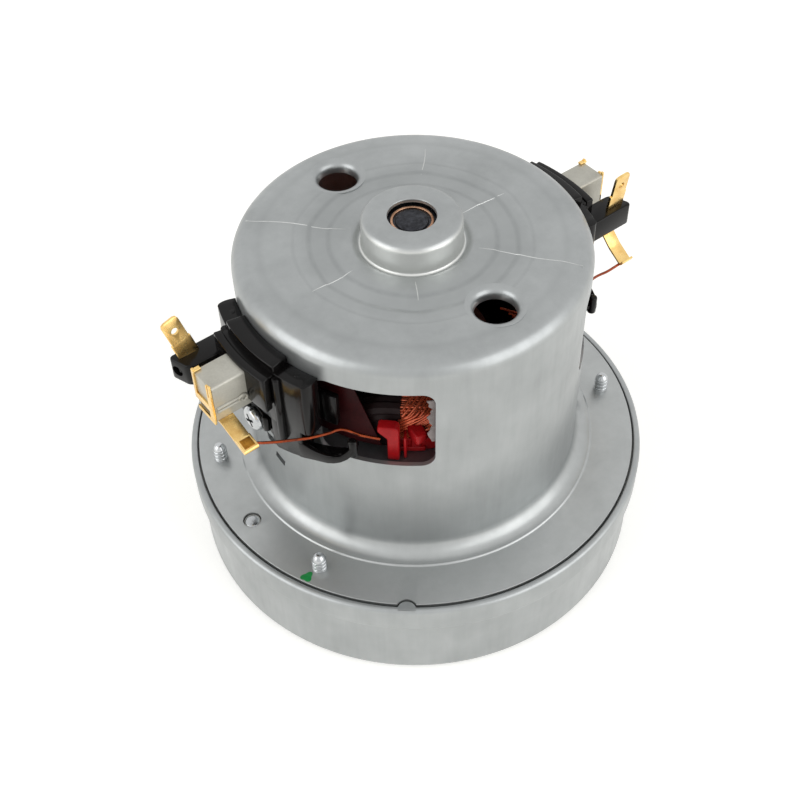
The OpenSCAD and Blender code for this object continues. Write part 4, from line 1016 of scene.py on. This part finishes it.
@dataclass
class BrushGear(Placed):
    """One brush holder with its tube, terminals, screw, spring and lead."""

    seat_r: float = 45.7
    wing_r: float = 50.6
    wing_z: Span = (75.4, 92.28)
    wing_ang: Span = (7.2, 22.6)
    wing_corner: float = 3.7
    # Radii, levels, half angle and rounding of the saddle, its neck and its ledge
    saddle: Sequence[tuple[Span, Span, float, float]] = (
        ((45.7, 50.6), (74.0, 94.5), 11.5, 0.4), ((49.6, 53.0), (82.8, 91.8), 11.2, 0.2),
        ((52.0, 54.2), (81.5, 92.3), 11.5, 0.4))
    # Radius, distance from the shaft, levels, rounding and angle of the upright ribs
    ribs: Sequence[tuple[float, float, Span, float, float]] = (
        (1.1, 50.9, (70.0, 91.5), 0.3, 12.4), (1.1, 50.2, (67.5, 72.5), 0.5, 4.6))
    arm: Sequence[Corner] = ((48.6, -14.8, 0), (64.5, -14.8, 1.6), (62.2, -8.1, 1.8), (53.4, -8.1, 0),
                             (53.4, -4.0, 0), (48.6, -4.0, 0))
    arm_z: Span = (81.0, 87.7)
    arm_hole: Span = (-12.1, 84.4)
    tabs: tuple[Span, Span, Span] = ((41.8, 43.8), (74.6, 84.6), (6.0, 26.6))
    stud_pos: Span = (47.6, 16.8)
    # Angle from the brush, level of the underside and level of the rim
    tray_rows: Sequence[Corner] = (
        (1.5, 68.0, 71.3), (5.5, 65.7, 71.3), (9.0, 63.8, 71.3), (14.0, 64.9, 71.3), (19.0, 66.1, 71.3),
        (22.7, 67.2, 70.6), (28.0, 68.2, 70.6), (30.5, 68.9, 70.8), (32.5, 70.0, 72.2), (33.6, 71.0, 74.4),
        (34.7, 72.4, 75.6))
    tray_start: float = 17.5
    tray_taper: float = 27.0
    hook_pos: Span = (47.9, 33.8)
    brush_z: float = 85.3
    tube: Span = (4.1, 5.9)
    tube_x: Span = (14.5, 63.1)
    tube_corner: float = 0.8
    wall: float = 0.8
    play: float = 0.03
    brass: float = 0.6
    # Bars of the end frame: across and up from the middle of the tube
    bars: Sequence[tuple[Span, Span]] = (
        ((-4.0, -3.1), (-2.9, 6.8)), ((2.2, 4.0), (-6.2, 2.5)), ((3.2, 4.0), (2.3, 6.6)),
        ((2.2, 2.8), (2.3, 6.2)), ((-4.0, 4.0), (-2.9, -0.9)), ((-3.5, 4.0), (-6.55, -5.4)))
    strips: dict[Side, Sequence[Corner]] = field(default_factory=lambda: {
        Side.LEFT: ((14.73, 76.38, 0.65), (15.04, 77.75, 0.65), (11.0, 78.68, 0)),
        Side.RIGHT: ((10.8, 77.2, 0.7), (14.0, 74.2, 0.7), (18.4, 71.4, 0.3), (18.9, 72.5, 0))})
    strip_x: Span = (58.6, 62.6)
    pocket: Point = (60.6, 13.0, 78.52)
    pocket_tilt: float = -13.0
    spade_lean: dict[Side, float] = field(default_factory=lambda: {Side.LEFT: 13.5, Side.RIGHT: -3.0})
    spade_tilt: float = 10.3
    spade_pos: Point = (57.05, -12.26, 87.6)
    screw_z: float = 69.0
    screw_seat: float = 50.3
    screw_hole: float = 1.6
    routes: dict[Side, Sequence[Point]] = field(default_factory=lambda: {
        Side.LEFT: ((62.2, 13.3, 77.1), (59.0, 13.3, 77.1), (56.8, 14.0, 76.4), (54.1, 15.0, 75.6),
                    (50.2, 16.7, 75.0), (46.4, 18.5, 74.7), (42.2, 20.0, 74.6), (39.8, 21.0, 75.1),
                    (38.2, 22.5, 75.0), (36.2, 24.9, 74.0), (32.6, 28.0, 72.7)),
        Side.RIGHT: ((61.6, -17.9, 70.9), (58.4, -18.0, 70.9), (54.2, -18.1, 70.9), (50.4, -18.0, 71.3),
                     (47.2, -18.8, 72.0), (44.0, -20.9, 73.0), (41.2, -22.6, 74.4), (38.4, -23.9, 75),
                     (35.6, -25.6, 74.2), (32.94, -27.48, 72.8))})
    lead_r: float = 0.38
    spring_x: Span = (43.45, 62.83)
    spring_r: float = 2.3
    spring_end: float = 0.35
    spring_turns: int = 12
    spring_steps: int = 24

    def build(self) -> None:
        """Builds the gear's pieces in turn."""
        self._holder()
        self._tube()
        self._terminal()
        self._spade()
        self._screw()
        self._lead()
        self._spring()

    def _holder(self) -> None:
        """The moulded saddle with its ledge, wings, trays, boss, arm and guide."""
        a, w, b, low = self.seat_r, self.wing_r, Solid(), self.screw_z
        for r, z, half, edge in self.saddle:
            b.sector(r, z, (-half, half), edge)
        for s in SIDES:
            b.add(self._wing(s)).add(self._tray(s))
            for radius, x, z, edge, angle in self.ribs:
                b.add(Solid().post(radius, (x, 0, z[0]), (x, 0, z[1]), edge, 24).turn(angle * s))
            b.add(self._foot((2.0, 8.0), w - 1.0, s))
        b.post(3.8, (a + 0.9, 0, low), (self.screw_seat, 0, low), 0.3)
        b.block((a + 0.5, -3.0, low), (49.6, 3.0, 76.0), 0.3)
        b.plate(self.arm, self.arm_z, 0.5)
        b.block((38.4, -6.1, 77.4), (47.7, 6.1, 91.75), 0.4)
        y, z = (half + self.play for half in self.tube)
        across, up = self.arm_hole
        tool = Solid().block((10, -y, self.brush_z - z), (90, y, self.brush_z + z), 0)
        tool.post(a - 0.05, (0, 0, 50), (0, 0, 77.2), 0, 192)
        tool.post(self.screw_hole, (40, 0, low), (60, 0, low), 0, 24)
        tool.post(1.5, (62.4, across, up), (70, across, up), 0, 24)
        b.cut(tool)
        for s in SIDES:
            b.sector(self.tabs[0], self.tabs[1], arc_on(s, *self.tabs[2]), 0.5)
        b.post(0.8, (61.8, across, up), (63.1, across, up), 0.3, 24)
        for s in SIDES:
            stud = Solid().turned([(0, 92.42, 0), (0.6, 92.42, 0.12), (0.75, 92.1, 0.05), (0, 92.1, 0)], 24,
                                  (self.stud_pos[0], 0, 0), closed=False)
            b.add(stud.turn(self.stud_pos[1] * s))
        self._dress(b, "moulded_holder", BLACK_MOULDING, "black_plastic", "brush_holder")

    def _tray_level(self, degrees: float, column: int) -> float:
        """Reads the tray's underside or rim at an angle.

        Args:
            degrees: the angle from the brush axis.
            column: 1 for the underside, 2 for the rim.

        Returns:
            The level.
        """
        for a, b in zip(self.tray_rows, self.tray_rows[1:]):
            if degrees <= b[0]:
                return a[column] + (b[column] - a[column]) * max(0.0, (degrees - a[0]) / (b[0] - a[0]))
        return self.tray_rows[-1][column]

    def _wing(self, s: int) -> Solid:
        """One side wing with its foot, rounded at its outer end.

        Args:
            s: which side of the brush it is on.

        Returns:
            The wing.
        """
        outer = self.wing_r - 0.05
        wing = Solid().sector((self.seat_r + 0.02, outer), self.wing_z, arc_on(s, *self.wing_ang), 0)
        corner = Vector(on_circle(outer, self.wing_ang[1] * s, 0)).xy
        ends = [e for e in wing.bm.edges if all((v.co.xy - corner).length < 0.05 for v in e.verts)]
        bevel(wing.bm, ends, self.wing_corner, 8)
        return wing.soften(0.45, 35.0).add(self._foot((7.3, 19.0), self.wing_r - 0.06, s))

    def _foot(self, arc: Span, radius: float, s: int) -> Solid:
        """A stretch of the skirt below the saddle, whose underside follows the tray's.

        Args:
            arc: its angles from the brush axis.
            radius: its outer radius.
            s: which side of the brush it is on.

        Returns:
            The stretch.
        """
        foot = Solid().sector((self.seat_r + 0.03, radius), (0, 78.0), arc_on(s, *arc), 0)
        for v in foot.bm.verts:
            if v.co.z < 1:
                v.co.z = self._tray_level(off_axis(v.co), 1)
        return foot.soften(0.45)

    def _tray(self, s: int) -> Solid:
        """One wire tray, whose underside rises round the can and ends in a round hook.

        Args:
            s: which side of the brush it is on.

        Returns:
            The tray.
        """
        arc, end = arc_on(s, self.tray_start, self.tray_rows[-1][0]), self.tray_rows[-1][0]
        wall = Solid().sector((self.wing_r - 1.3, self.wing_r + 0.02), (0, 1), arc, 0)
        floor = Solid().sector((self.seat_r + 0.06, self.wing_r - 0.6), (0, 1), arc, 0)
        for shape, taper in ((wall, 0.036), (floor, 0.02)):
            for v in shape.bm.verts:
                angle = off_axis(v.co)
                low = self._tray_level(angle, 1)
                high = self._tray_level(angle, 2) if shape is wall else low + 1.2
                draw = 1 - taper * max(0.0, (angle - self.tray_taper) / (end - self.tray_taper)) ** 1.5
                v.co.x, v.co.y, v.co.z = v.co.x * draw, v.co.y * draw, low if v.co.z < 0.5 else high
        x, turn = self.hook_pos
        hook = Solid().post(1.15, (x, 0, 70.6), (x, 0, 76.2), 0.55, 24).turn(turn * s)
        return wall.soften(0.3).add(floor.soften(0.3)).add(hook)

    def _tube(self) -> None:
        """The folded tube with its closed end, rolled seam and hem loop."""
        (y, z), mid, end = self.tube, self.brush_z, self.tube_x[1]
        shape = Solid().frame(self.tube, self.tube_corner, self.wall, self.tube_x).move((0, 0, mid))
        for drop in (1.4, 2.5):
            shape.wire([(55.6, y, mid - drop), (62.6, y, mid - drop)], 0.42, 12)
        turns = [k * math.tau / 20 for k in range(20)]
        loop = [(55.4 + 1.1 * math.cos(a), y + 0.15, mid - 1.95 + 0.95 * math.sin(a)) for a in turns]
        shape.wire(loop, 0.34, looped=True)
        shape.block((end - 0.5, -y + 0.5, mid - 0.9), (end + 0.15, y - 0.5, mid + z - 0.3), 0.15)
        self._dress(shape, "folded_tube", DULL_ZINC, "zinc_steel", "brush_tube")

    def _terminal(self) -> None:
        """The end frame over the tube's closed end, and the strip that is folded over the lead."""
        (y, z), t, mid, s = self.tube, self.brass, self.brush_z, self.place.sign
        near = self.tube_x[1] + self.play
        far, cap = near + t, Solid()
        for across, up in self.bars:
            flank = arc_on(s, *across)
            cap.block((near, flank[0], mid + up[0]), (far, flank[1], mid + up[1]), 0.1)
        hook = arc_on(s, -y + 0.1, -y + 1.3)
        cap.block((near - 1.6, hook[0], mid + z + 0.05), (far, hook[1], mid + z + 0.6), 0.1)
        foot = mid - z - self.play - t / 2
        cap.block((59.0, -y + 0.8, foot - t / 2), (far, y - 0.8, foot + t / 2), 0.1)
        path = [(-2.0, foot, 0), (4.4, foot, 0.7), *self.strips[self.place]]
        cap.add(Solid().strip([(a * s, b, c) for a, b, c in path], self.strip_x, t, 0.1))
        if self.place is Side.LEFT:
            hole = Solid().block((-1.4, -1.3, -0.4), (1.4, 1.3, 0.4), 0)
            # The pad's brown at the bottom of the crimp pocket is painted shade
            pad = Solid().block((-1.42, -1.32, -0.42), (1.42, 1.32, -0.08), 0.1)
            for shape in (hole, pad):
                shape.turn(self.pocket_tilt, "X").move(self.pocket)
            cap.cut(hole)
            self._dress(pad, "crimp_pocket", POCKET_SHADE_BRASS, "brass")
        self._dress(cap, "brass_terminal", BRASS, "brass", "brush_terminal")

    def _spade(self) -> None:
        """The supply tab in the holder's arm."""
        tab = Solid().block((0, -0.8, -3.0), (4.9, 0, 12.4), 0)
        across = [e for e in tab.bm.edges if abs(e.verts[0].co.y - e.verts[1].co.y) > 0.5]
        bevel(tab.bm, [e for e in across if e.verts[0].co.z > 10], 1.05, 2)
        bevel(tab.bm, [e for e in tab.bm.edges if e.calc_face_angle(0) > 1], 0.12, 2)
        tab.block((-0.35, -0.82, -2.9), (5.2, 0.02, 5.4), 0.15)
        tab.cut(Solid().post(0.95, (2.45, -3, 8.8), (2.45, 3, 8.8), 0, 32))
        tab.turn(self.spade_lean[self.place], "Y").turn(self.spade_tilt, "X").move(self.spade_pos)
        self._dress(tab, "spade_tab", BRASS, "brass", "spade_terminal")

    def _screw(self) -> None:
        """The pan head screw with its cross recess. Both screws share one CAD node."""
        head = Solid().turned([(0, 2.3, 0), (3.5, 2.3, 1.2), (3.5, 0.02, 0.15), (1.45, 0.02, 0.1),
                               (1.45, -13.0, 0.5), (0, -13.0, 0)], 48, closed=False)
        recess = Solid().block((-1.9, -0.42, 1.1), (1.9, 0.42, 4), 0.05)
        recess.block((-0.42, -1.9, 1.12), (0.42, 1.9, 4), 0.05)
        head.cut(recess).turn(30).turn(90, "Y").move((self.screw_seat, 0, self.screw_z)).turn(self.place.turn)
        name = f"pan_head_screw_{self.place.value}"
        head.piece(name, BRIGHT_ZINC, "housing", "zinc_steel", ["holder_screws"])

    def _lead(self) -> None:
        """The coil lead from the folded strip to the former's post."""
        wire = Solid().wire(smooth_route(self.routes[self.place], 8), self.lead_r, 12)
        self._dress(wire, "coil_lead", LEAD_ENAMEL, "enamelled_copper", "lead_wire")

    def _spring(self) -> None:
        """The brush spring and pigtail, which ride on the brush."""
        (x0, x1), end, r = self.spring_x, self.spring_end, self.spring_r
        count, angle = self.spring_turns * self.spring_steps, math.tau / self.spring_steps
        coil = [(x0 + end + (x1 - x0 - 2 * end) * k / count, r * math.cos(k * angle),
                 self.brush_z + r * math.sin(k * angle)) for k in range(count + 1)]
        strand = [(x0 + (x1 - x0) * k / 24, 0.35 * math.cos(k * 0.8), self.brush_z + 0.35 * math.sin(k * 0.8))
                  for k in range(25)]
        joint, body = f"brush_{self.place.value}_slide", f"{self.place.value}_brush"
        for path, radius, stem, finish, slot, node in (
                (coil, 0.3, "coiled_spring", SPRING_STEEL, "spring_steel", "brush_spring"),
                (strand, 0.55, "stranded_pigtail", COPPER_WIRE, "enamelled_copper", "brush_pigtail")):
            made = self._dress(Solid().wire(path, radius), stem, finish, slot, node, body)
            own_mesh(made)


@dataclass
class FieldCoil(Placed):
    """One field coil on its red former."""

    inner_r: float = 27.4
    outer_r: float = 37.03
    low: float = 32.3
    high: float = 77.8
    half_ang: float = 63.0
    corner: float = 9.8
    core: Span = (43.3, 64.8)
    columns: int = 13
    rows: int = 4
    wire_r: float = 0.34
    row_pitch: float = 0.62
    # The last turn's share of its pitch, which keeps it off the former's cheek
    last_turn: float = 0.999
    bundle: tuple[int, int] = (4, 5)
    bundle_r: float = 1.05
    # Radius and end angle of the near-black wrap, painted shade over the coil's corners
    shade_wrap_r: float = 1.9
    shade_wrap_end: float = 42.0
    strands: int = 15
    strand_r: float = 0.3
    paper: tuple[Span, Span, Span] = ((43.3, 43.6), (73.0, 87.6), (22.0, 33.2))
    film: tuple[Span, Span, Span] = ((39.6, 39.85), (66.5, 88.5), (50.0, 76.0))
    film_slant: float = 11.0
    cheek: float = 37.33
    former_z: Span = (41.5, 68.8)
    former_r: float = 25.8
    former_ang: float = 41.3
    # Radii, levels and angles of the former's side walls, posts, ribs and fins
    posts: Sequence[tuple[Span, Span, Span]] = (
        ((25.9, 37.29), (41.52, 68.78), (39.1, 41.3)), ((37.29, 40.3), (64.84, 72.4), (43.4, 46.9)),
        ((37.29, 39.6), (64.88, 71.4), (35.8, 39.4)), ((37.29, 39.8), (64.86, 66.4), (34.0, 47.0)),
        ((37.29, 42.0), (64.9, 72.3), (40.8, 41.8)))
    hook: Sequence[Corner] = ((-1.5, 65.0, 0), (1.43, 65.0, 0), (1.43, 72.6, 0.4), (3.8, 75.0, 0.5),
                              (3.8, 76.8, 0.9), (-1.5, 76.8, 1.4))
    hook_r: Span = (39.9, 42.9)
    hook_ang: float = 45.2
    button: Sequence[Corner] = ((38.0, 41.0, 0.8), (38.0, 35.7, 0.8), (41.5, 33.5, 0.9), (43.3, 37.2, 0.7),
                                (40.0, 40.2, 0.7))
    button_z: Span = (71.0, 74.0)

    def build(self) -> None:
        """Builds the former, the turns and the insulation sheets."""
        for shape, stem, finish, slot, node in (
                (self._former(), "moulded_former", RED_MOULDING, "red_plastic", "field_former"),
                (self._turns(), "wound_turns", COPPER_WIRE, "enamelled_copper", "field_winding"),
                (self._core(), "wound_core", COPPER_WIRE, "enamelled_copper", "field_coil"),
                (self._shade_wrap(), "coil_shade_wrap", SHADE_WRAP, "fibre", ""),
                (self._strands(), "loose_strands", COPPER_WIRE, "enamelled_copper", ""),
                (self._sheets(), "insulation_sheets", PAPER, "fibre", ""),
                (self._films(), "coil_films", SHADED_RED_FILM, "fibre", "")):
            self._dress(shape, stem, finish, slot, node)

    def _loop(self, radius: float, off: float, steps: int = 8) -> list[Point]:
        """A rounded frame laid round the shaft.

        Args:
            radius: how far from the shaft it lies.
            off: how far it is pushed out across the coil's side.
            steps: stretches along each straight side.

        Returns:
            The points of one turn.
        """
        mid, level = (self.inner_r + self.outer_r) / 2, (self.low + self.high) / 2
        wide = mid * math.radians(self.half_ang) - self.corner
        tall = (self.high - self.low) / 2 - self.corner
        bend, points = self.corner + off, []
        corners = ((1, 1), (-1, 1), (-1, -1), (1, -1))
        for q, (sx, sz) in enumerate(corners):
            for k in range(9):
                turn = math.radians(90 * (q + k / 8))
                points.append((sx * wide + bend * math.cos(turn), sz * tall + bend * math.sin(turn)))
            nx, nz = corners[(q + 1) % 4]
            start = Vector(points[-1])
            end = Vector((nx * wide + bend * math.cos(turn), nz * tall + bend * math.sin(turn)))
            points += [tuple(start.lerp(end, k / steps)) for k in range(1, steps)]
        return [on_circle(radius, math.degrees(s / mid), level + h) for s, h in points]

    def _turns(self) -> Solid:
        """The outer turns, row by row.

        Returns:
            The turns.
        """
        turns, last = Solid(), self.columns - 1
        pitch = (self.outer_r - self.inner_r - 2 * self.wire_r) / last
        for row in range(self.rows):
            for k in range(self.columns):
                step = pitch * (k + 0.5 * (row % 2)) * (1 if k < last else self.last_turn)
                r = min(self.inner_r + self.wire_r + step, self.outer_r)
                wave = 0.12 * math.sin(2.3 * k + 1.7 * row)
                turns.wire(self._loop(r, wave - self.row_pitch * row), self.wire_r, 4, looped=True)
        return turns

    def _core(self) -> Solid:
        """The inner layers under the outer turns, as one bundle of heavier strands.

        Returns:
            The bundle.
        """
        bundle, (rows, columns) = Solid(), self.bundle
        for row in range(rows):
            for k in range(columns):
                r = self.inner_r + 1.1 + (self.outer_r - self.inner_r - 2.2) * k / (columns - 1)
                bundle.wire(self._loop(r, -3.0 - 1.75 * row), self.bundle_r, looped=True)
        return bundle

    def _shade_wrap(self) -> Solid:
        """A near-black maroon wrap round the coil's two sides: painted shade over the former in shadow.

        Returns:
            The wrap on both sides.
        """
        wrap = Solid()
        places = [(self.outer_r - 0.5, -0.5 - 2.0 * k) for k in range(5)]
        places += [(self.inner_r + 0.9 + 2.1 * k, -0.4) for k in range(4)]
        for r, off in places:
            loop = self._loop(r, off, 40)
            half = len(loop) // 2
            for s, points in ((1, loop[half:] + loop[:half]), (-1, loop)):
                side = [p for p in points if s * math.degrees(math.atan2(p[1], p[0])) > self.shade_wrap_end]
                wrap.wire(side, self.shade_wrap_r)
        return wrap

    def _strands(self) -> Solid:
        """Loose outer turns, which cross up over the coil's corners.

        Returns:
            The strands on both sides.
        """
        loose = Solid()
        for s in SIDES:
            for k in range(self.strands):
                sway, points = 0.45 * math.sin(2.1 * k), []
                for step in range(6):
                    z = 66.0 + 0.9 * k + 1.5 * step + sway * math.sin(1.1 * step)
                    angle = 47.7 - 0.43 * k - 3.2 * step + sway
                    points.append(on_circle(38.7 - 1.5 * max(0.0, z - 77.0), s * angle, z))
                loose.wire(smooth_route(points, 3), self.strand_r)
        return loose

    def _sheets(self) -> Solid:
        """The insulation sheets inside the can, with torn edges.

        Returns:
            The sheets on both sides.
        """
        sheets, (r, z, arc) = Solid(), self.paper
        for s in SIDES:
            sheet = Solid().sector(r, z, arc_on(s, *arc), 0)
            tall = [e for e in sheet.bm.edges if abs(e.verts[0].co.z - e.verts[1].co.z) > 5]
            bmesh.ops.subdivide_edges(sheet.bm, edges=tall, cuts=14, use_grid_fill=True)
            for v in sheet.bm.verts:
                if off_axis(v.co) > 32:
                    tear = 0.7 * math.sin(v.co.z * 1.1) + 0.4 * math.sin(v.co.z * 3.1)
                    v.co = Matrix.Rotation(math.radians(s * tear), 3, "Z") @ v.co
            sheets.add(sheet)
        return sheets

    def _films(self) -> Solid:
        """The film between the coil's sides and the can, cut off at a slant; its near-black red is partly
        painted shade.

        Returns:
            The film on both sides.
        """
        films, (r, z, (near, far)) = Solid(), self.film
        for s in SIDES:
            film = Solid().sector(r, z, arc_on(s, near, far), 0)
            for v in film.bm.verts:
                share = max(0.0, (far - off_axis(v.co)) / (far - near))
                slant = share * self.film_slant * max(0.0, (v.co.z - 72.0) / 16.5)
                v.co = Matrix.Rotation(math.radians(s * slant), 3, "Z") @ v.co
            films.add(film)
        return films

    def _former(self) -> Solid:
        """The moulded former with its cheeks, hooked posts, buttons and ribs, on +X.

        Returns:
            The former.
        """
        former, edge, (low, top), (under, over) = Solid(), 0.3, self.former_z, self.core
        body, cheek = (self.former_r, self.cheek), (self.cheek - 0.02, self.cheek + 1.8)
        for r, z, half, rounding in (
                (body, (over, top), self.former_ang, edge), (body, (low, under), self.former_ang, edge),
                (cheek, (over + 0.02, 69.0), 47, edge), ((25.82, 26.5), (over + 0.02, 71.8), 48, 0.2),
                (cheek, (36.3, under - 0.02), 54, edge)):
            former.sector(r, z, (-half, half), rounding)
        for s in SIDES:
            for r, z, arc in self.posts:
                former.sector(r, z, arc_on(s, *arc), 0.4)
            hook = Solid().plate([(x * s, z, c) for x, z, c in self.hook], self.hook_r, 0.4)
            former.add(hook.stand().turn(self.hook_ang * s))
            button = [on_circle(r, a * s, 0)[:2] + (c,) for r, a, c in self.button]
            former.plate(button, self.button_z, 0.6)
        return former


@dataclass
class Armature:
    """The wound armature's end turns and the shaft's end face."""

    slot_r: float = 15.7
    waist_r: float = 9.0
    slots: int = 12
    throw: int = 5
    low: float = 42.3
    high: float = 65.8
    strands: int = 5
    strand_r: float = 0.75

    def build(self) -> None:
        """Builds the coils through the slots and the turned shaft end."""
        coils = Solid()
        for slot in range(self.slots):
            for strand in range(self.strands):
                coils.wire(self._coil(slot, strand), self.strand_r, 4, looped=True)
        coils.piece("armature_coils", COPPER_WIRE, "rotor", "enamelled_copper", ["armature_winding"])
        end = Solid().turned([(0, 106.42, 0), (2.2, 106.38, 0.6), (4.2, 106.2, 0.3), (4.25, 105.7, 0.1),
                              (4.25, 105.2, 0.05), (0, 105.2, 0)], 56, closed=False)
        end.piece("shaft_end_face", DARK_STEEL, "rotor", "bearing_steel")
        ring = Solid().turned([(4.75, 106.25, 0.2), (5.55, 106.25, 0.3), (5.55, 105.4, 0.05),
                               (4.75, 105.4, 0.05)], 64)
        ring.piece("shaft_ring", OILED_STEEL, "rotor", "bearing_steel")

    def _coil(self, slot: int, strand: int) -> list[Point]:
        """One strand through two slots and over both ends.

        Args:
            slot: the slot that it starts from.
            strand: its place in the bundle.

        Returns:
            The points of the closed strand.
        """
        first = 360 / self.slots * slot + 2.2 * (strand - 2)
        last = first + 360 / self.slots * self.throw
        lift = 2.5 + 0.55 * slot + 0.5 * (strand % 3)
        outer = self.slot_r + 0.8 * ((strand % 2) - 0.5)
        levels, path = (self.low, (self.low + self.high) / 2, self.high), []
        for start, stop, way in ((first, last, 1), (last, first, -1)):
            path += [on_circle(outer, start, z) for z in levels[::way]]
            for k in range(1, 8):
                arch, angle = math.sin(math.pi * k / 8), start + (stop - start) * k / 8
                radius = outer - (outer - self.waist_r) * arch * 0.85
                path.append(on_circle(radius, angle, levels[::way][-1] + way * lift * arch))
        return path


@dataclass
class CarriedNodes:
    """CAD nodes whose shape is right, which only get their material."""

    # Each finish and the nodes that get it
    finishes: Sequence[tuple[Finish, str]] = (
        (DRAWN_STEEL, "lower_bracket"), (GREY_MOULDING, "diffuser"),
        (LAMINATIONS, "stator_core armature_core"),
        (BEARING_STEEL, "upper_bearing_outer lower_bearing_outer lower_bearing_inner lower_bearing_shields "
                        "upper_bearing_balls lower_bearing_balls shaft fan_spacer"),
        (DARK_STEEL, "upper_bearing_inner upper_bearing_shields"), (RUBBER, "bearing_sleeve"),
        (SPRING_STEEL, "wave_washer"), (FIBRE, "armature_insulators shaft_sleeve"),
        (PHENOLIC, "commutator_hub"), (BAR_COPPER, "commutator_bars"),
        (FAN_SHEET, "fan_back_plate fan_blades fan_front_plate"), (BRIGHT_ZINC, "fan_washer fan_nut"),
        (BRASS, "upper_bearing_cage lower_bearing_cage"), (CARBON, "carbon_brush_left carbon_brush_right"))

    def build(self) -> None:
        """Gives each node its finish."""
        for finish, names in self.finishes:
            for name in names.split():
                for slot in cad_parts[name].material_slots:
                    slot.material = finish.make()
                LOG.info("%s: carried over as %s", name, finish.name)


@dataclass
class Studio:
    """The pale floor, the soft lamps and the camera."""

    place: Point = (-0.14565, -0.18709, 0.303241)
    heading: float = -37.9
    pan: float = -1.003
    tilt: float = 47.985
    roll: float = 1.55
    focal_px: float = 1240.092
    frame_px: float = 800.0
    sensor: float = 36.0
    floor_half: float = 6.0
    floor_z: float = -0.0002
    floor_colour: str = "#f5f4f0"
    floor_lift: float = 0.36
    sky: Span = (0.65, 1.0)
    # Name, heading, height, width in metres and power of each soft box
    lamps: Sequence[tuple[str, float, float, float, float]] = (
        ("left_softbox", 170.0, 24.0, 0.85, 3.6), ("right_softbox", 292.0, 22.0, 0.95, 4.4))
    lamp_aim: Point = (0, 0, 0.09)

    def build(self) -> None:
        """Sets up the camera, the floor, the lamps and the white surroundings."""
        self._camera()
        self._floor()
        self._lamps()
        self._world()
        bpy.context.scene.view_settings.view_transform = "Standard"

    def _camera(self) -> None:
        """A camera where the photograph was taken from."""
        pan, tilt = math.radians(self.pan), math.radians(self.tilt)
        ahead = Vector((math.sin(pan) * math.cos(tilt), math.cos(pan) * math.cos(tilt), -math.sin(tilt)))
        right = ahead.cross(Vector((0, 0, 1))).normalized()
        up = right.cross(ahead)
        c, s = math.cos(math.radians(self.roll)), math.sin(math.radians(self.roll))
        axes = Matrix((c * right - s * up, s * right + c * up, -ahead)).transposed()
        axes = Matrix.Rotation(math.radians(self.heading), 3, "Z") @ axes
        data = bpy.data.cameras.new("photo_camera")
        data.sensor_width = self.sensor
        data.lens = self.focal_px / self.frame_px * self.sensor
        camera = link(bpy.data.objects.new("photo_camera", data))
        camera.matrix_world = Matrix.Translation(self.place) @ axes.to_4x4()
        bpy.context.scene.camera = camera

    def _floor(self) -> None:
        """A pale floor that looks white to the camera and keeps a soft shadow."""
        bm = bmesh.new()
        bmesh.ops.create_grid(bm, x_segments=1, y_segments=1, size=self.floor_half)
        bmesh.ops.translate(bm, verts=bm.verts[:], vec=(0, 0, self.floor_z))
        mesh = bpy.data.meshes.new("pale_floor")
        bm.to_mesh(mesh)
        bm.free()
        material = bpy.data.materials.new("matt_pale_floor")
        tree = fresh_tree(material)
        lift = add_node(tree, "ShaderNodeMath", {0: seen_directly(tree), 1: self.floor_lift},
                        operation="MULTIPLY")
        matt = add_node(tree, "ShaderNodeBsdfDiffuse", {"Color": linear(self.floor_colour)})
        glow = add_node(tree, "ShaderNodeEmission", {"Strength": lift.outputs[0]})
        both = add_node(tree, "ShaderNodeAddShader", {0: matt.outputs[0], 1: glow.outputs[0]})
        add_node(tree, "ShaderNodeOutputMaterial", {"Surface": both.outputs[0]})
        mesh.materials.append(material)
        floor = link(bpy.data.objects.new("pale_floor", mesh))

    def _lamps(self) -> None:
        """Large soft boxes on both sides, low enough to shine on upright walls."""
        for name, heading, height, size, power in self.lamps:
            data = bpy.data.lights.new(name, "AREA")
            data.size, data.energy = size, power
            lamp = link(bpy.data.objects.new(name, data))
            rise = math.radians(height)
            away = Vector(on_circle(math.cos(rise), heading, math.sin(rise)))
            lamp.location = Vector(self.lamp_aim) + away
            lamp.rotation_euler = away.to_track_quat("Z", "Y").to_euler()

    def _world(self) -> None:
        """White surroundings for the camera and for reflections, and a softer light on the object."""
        world = bpy.data.worlds.new("white_studio")
        tree = fresh_tree(world)
        level = add_node(tree, "ShaderNodeMapRange", {
            "Value": seen_directly(tree), "To Min": self.sky[0], "To Max": self.sky[1]})
        sky = add_node(tree, "ShaderNodeBackground", {"Color": (1, 1, 1, 1), "Strength": level.outputs[0]})
        add_node(tree, "ShaderNodeOutputWorld", {"Surface": sky.outputs[0]})
        bpy.context.scene.world = world


def main() -> None:
    """Builds the studio and every sub-assembly."""
    logging.basicConfig(level=logging.INFO, format="%(message)s")
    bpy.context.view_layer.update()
    Studio().build()
    for part in (MotorCan(), FanCover(), Fasteners(), BrushGear(Side.LEFT), BrushGear(Side.RIGHT),
                 FieldCoil(Pole.FRONT), FieldCoil(Pole.BACK), Armature(), CarriedNodes()):
        part.build()


if __name__ == "__main__":
    main()
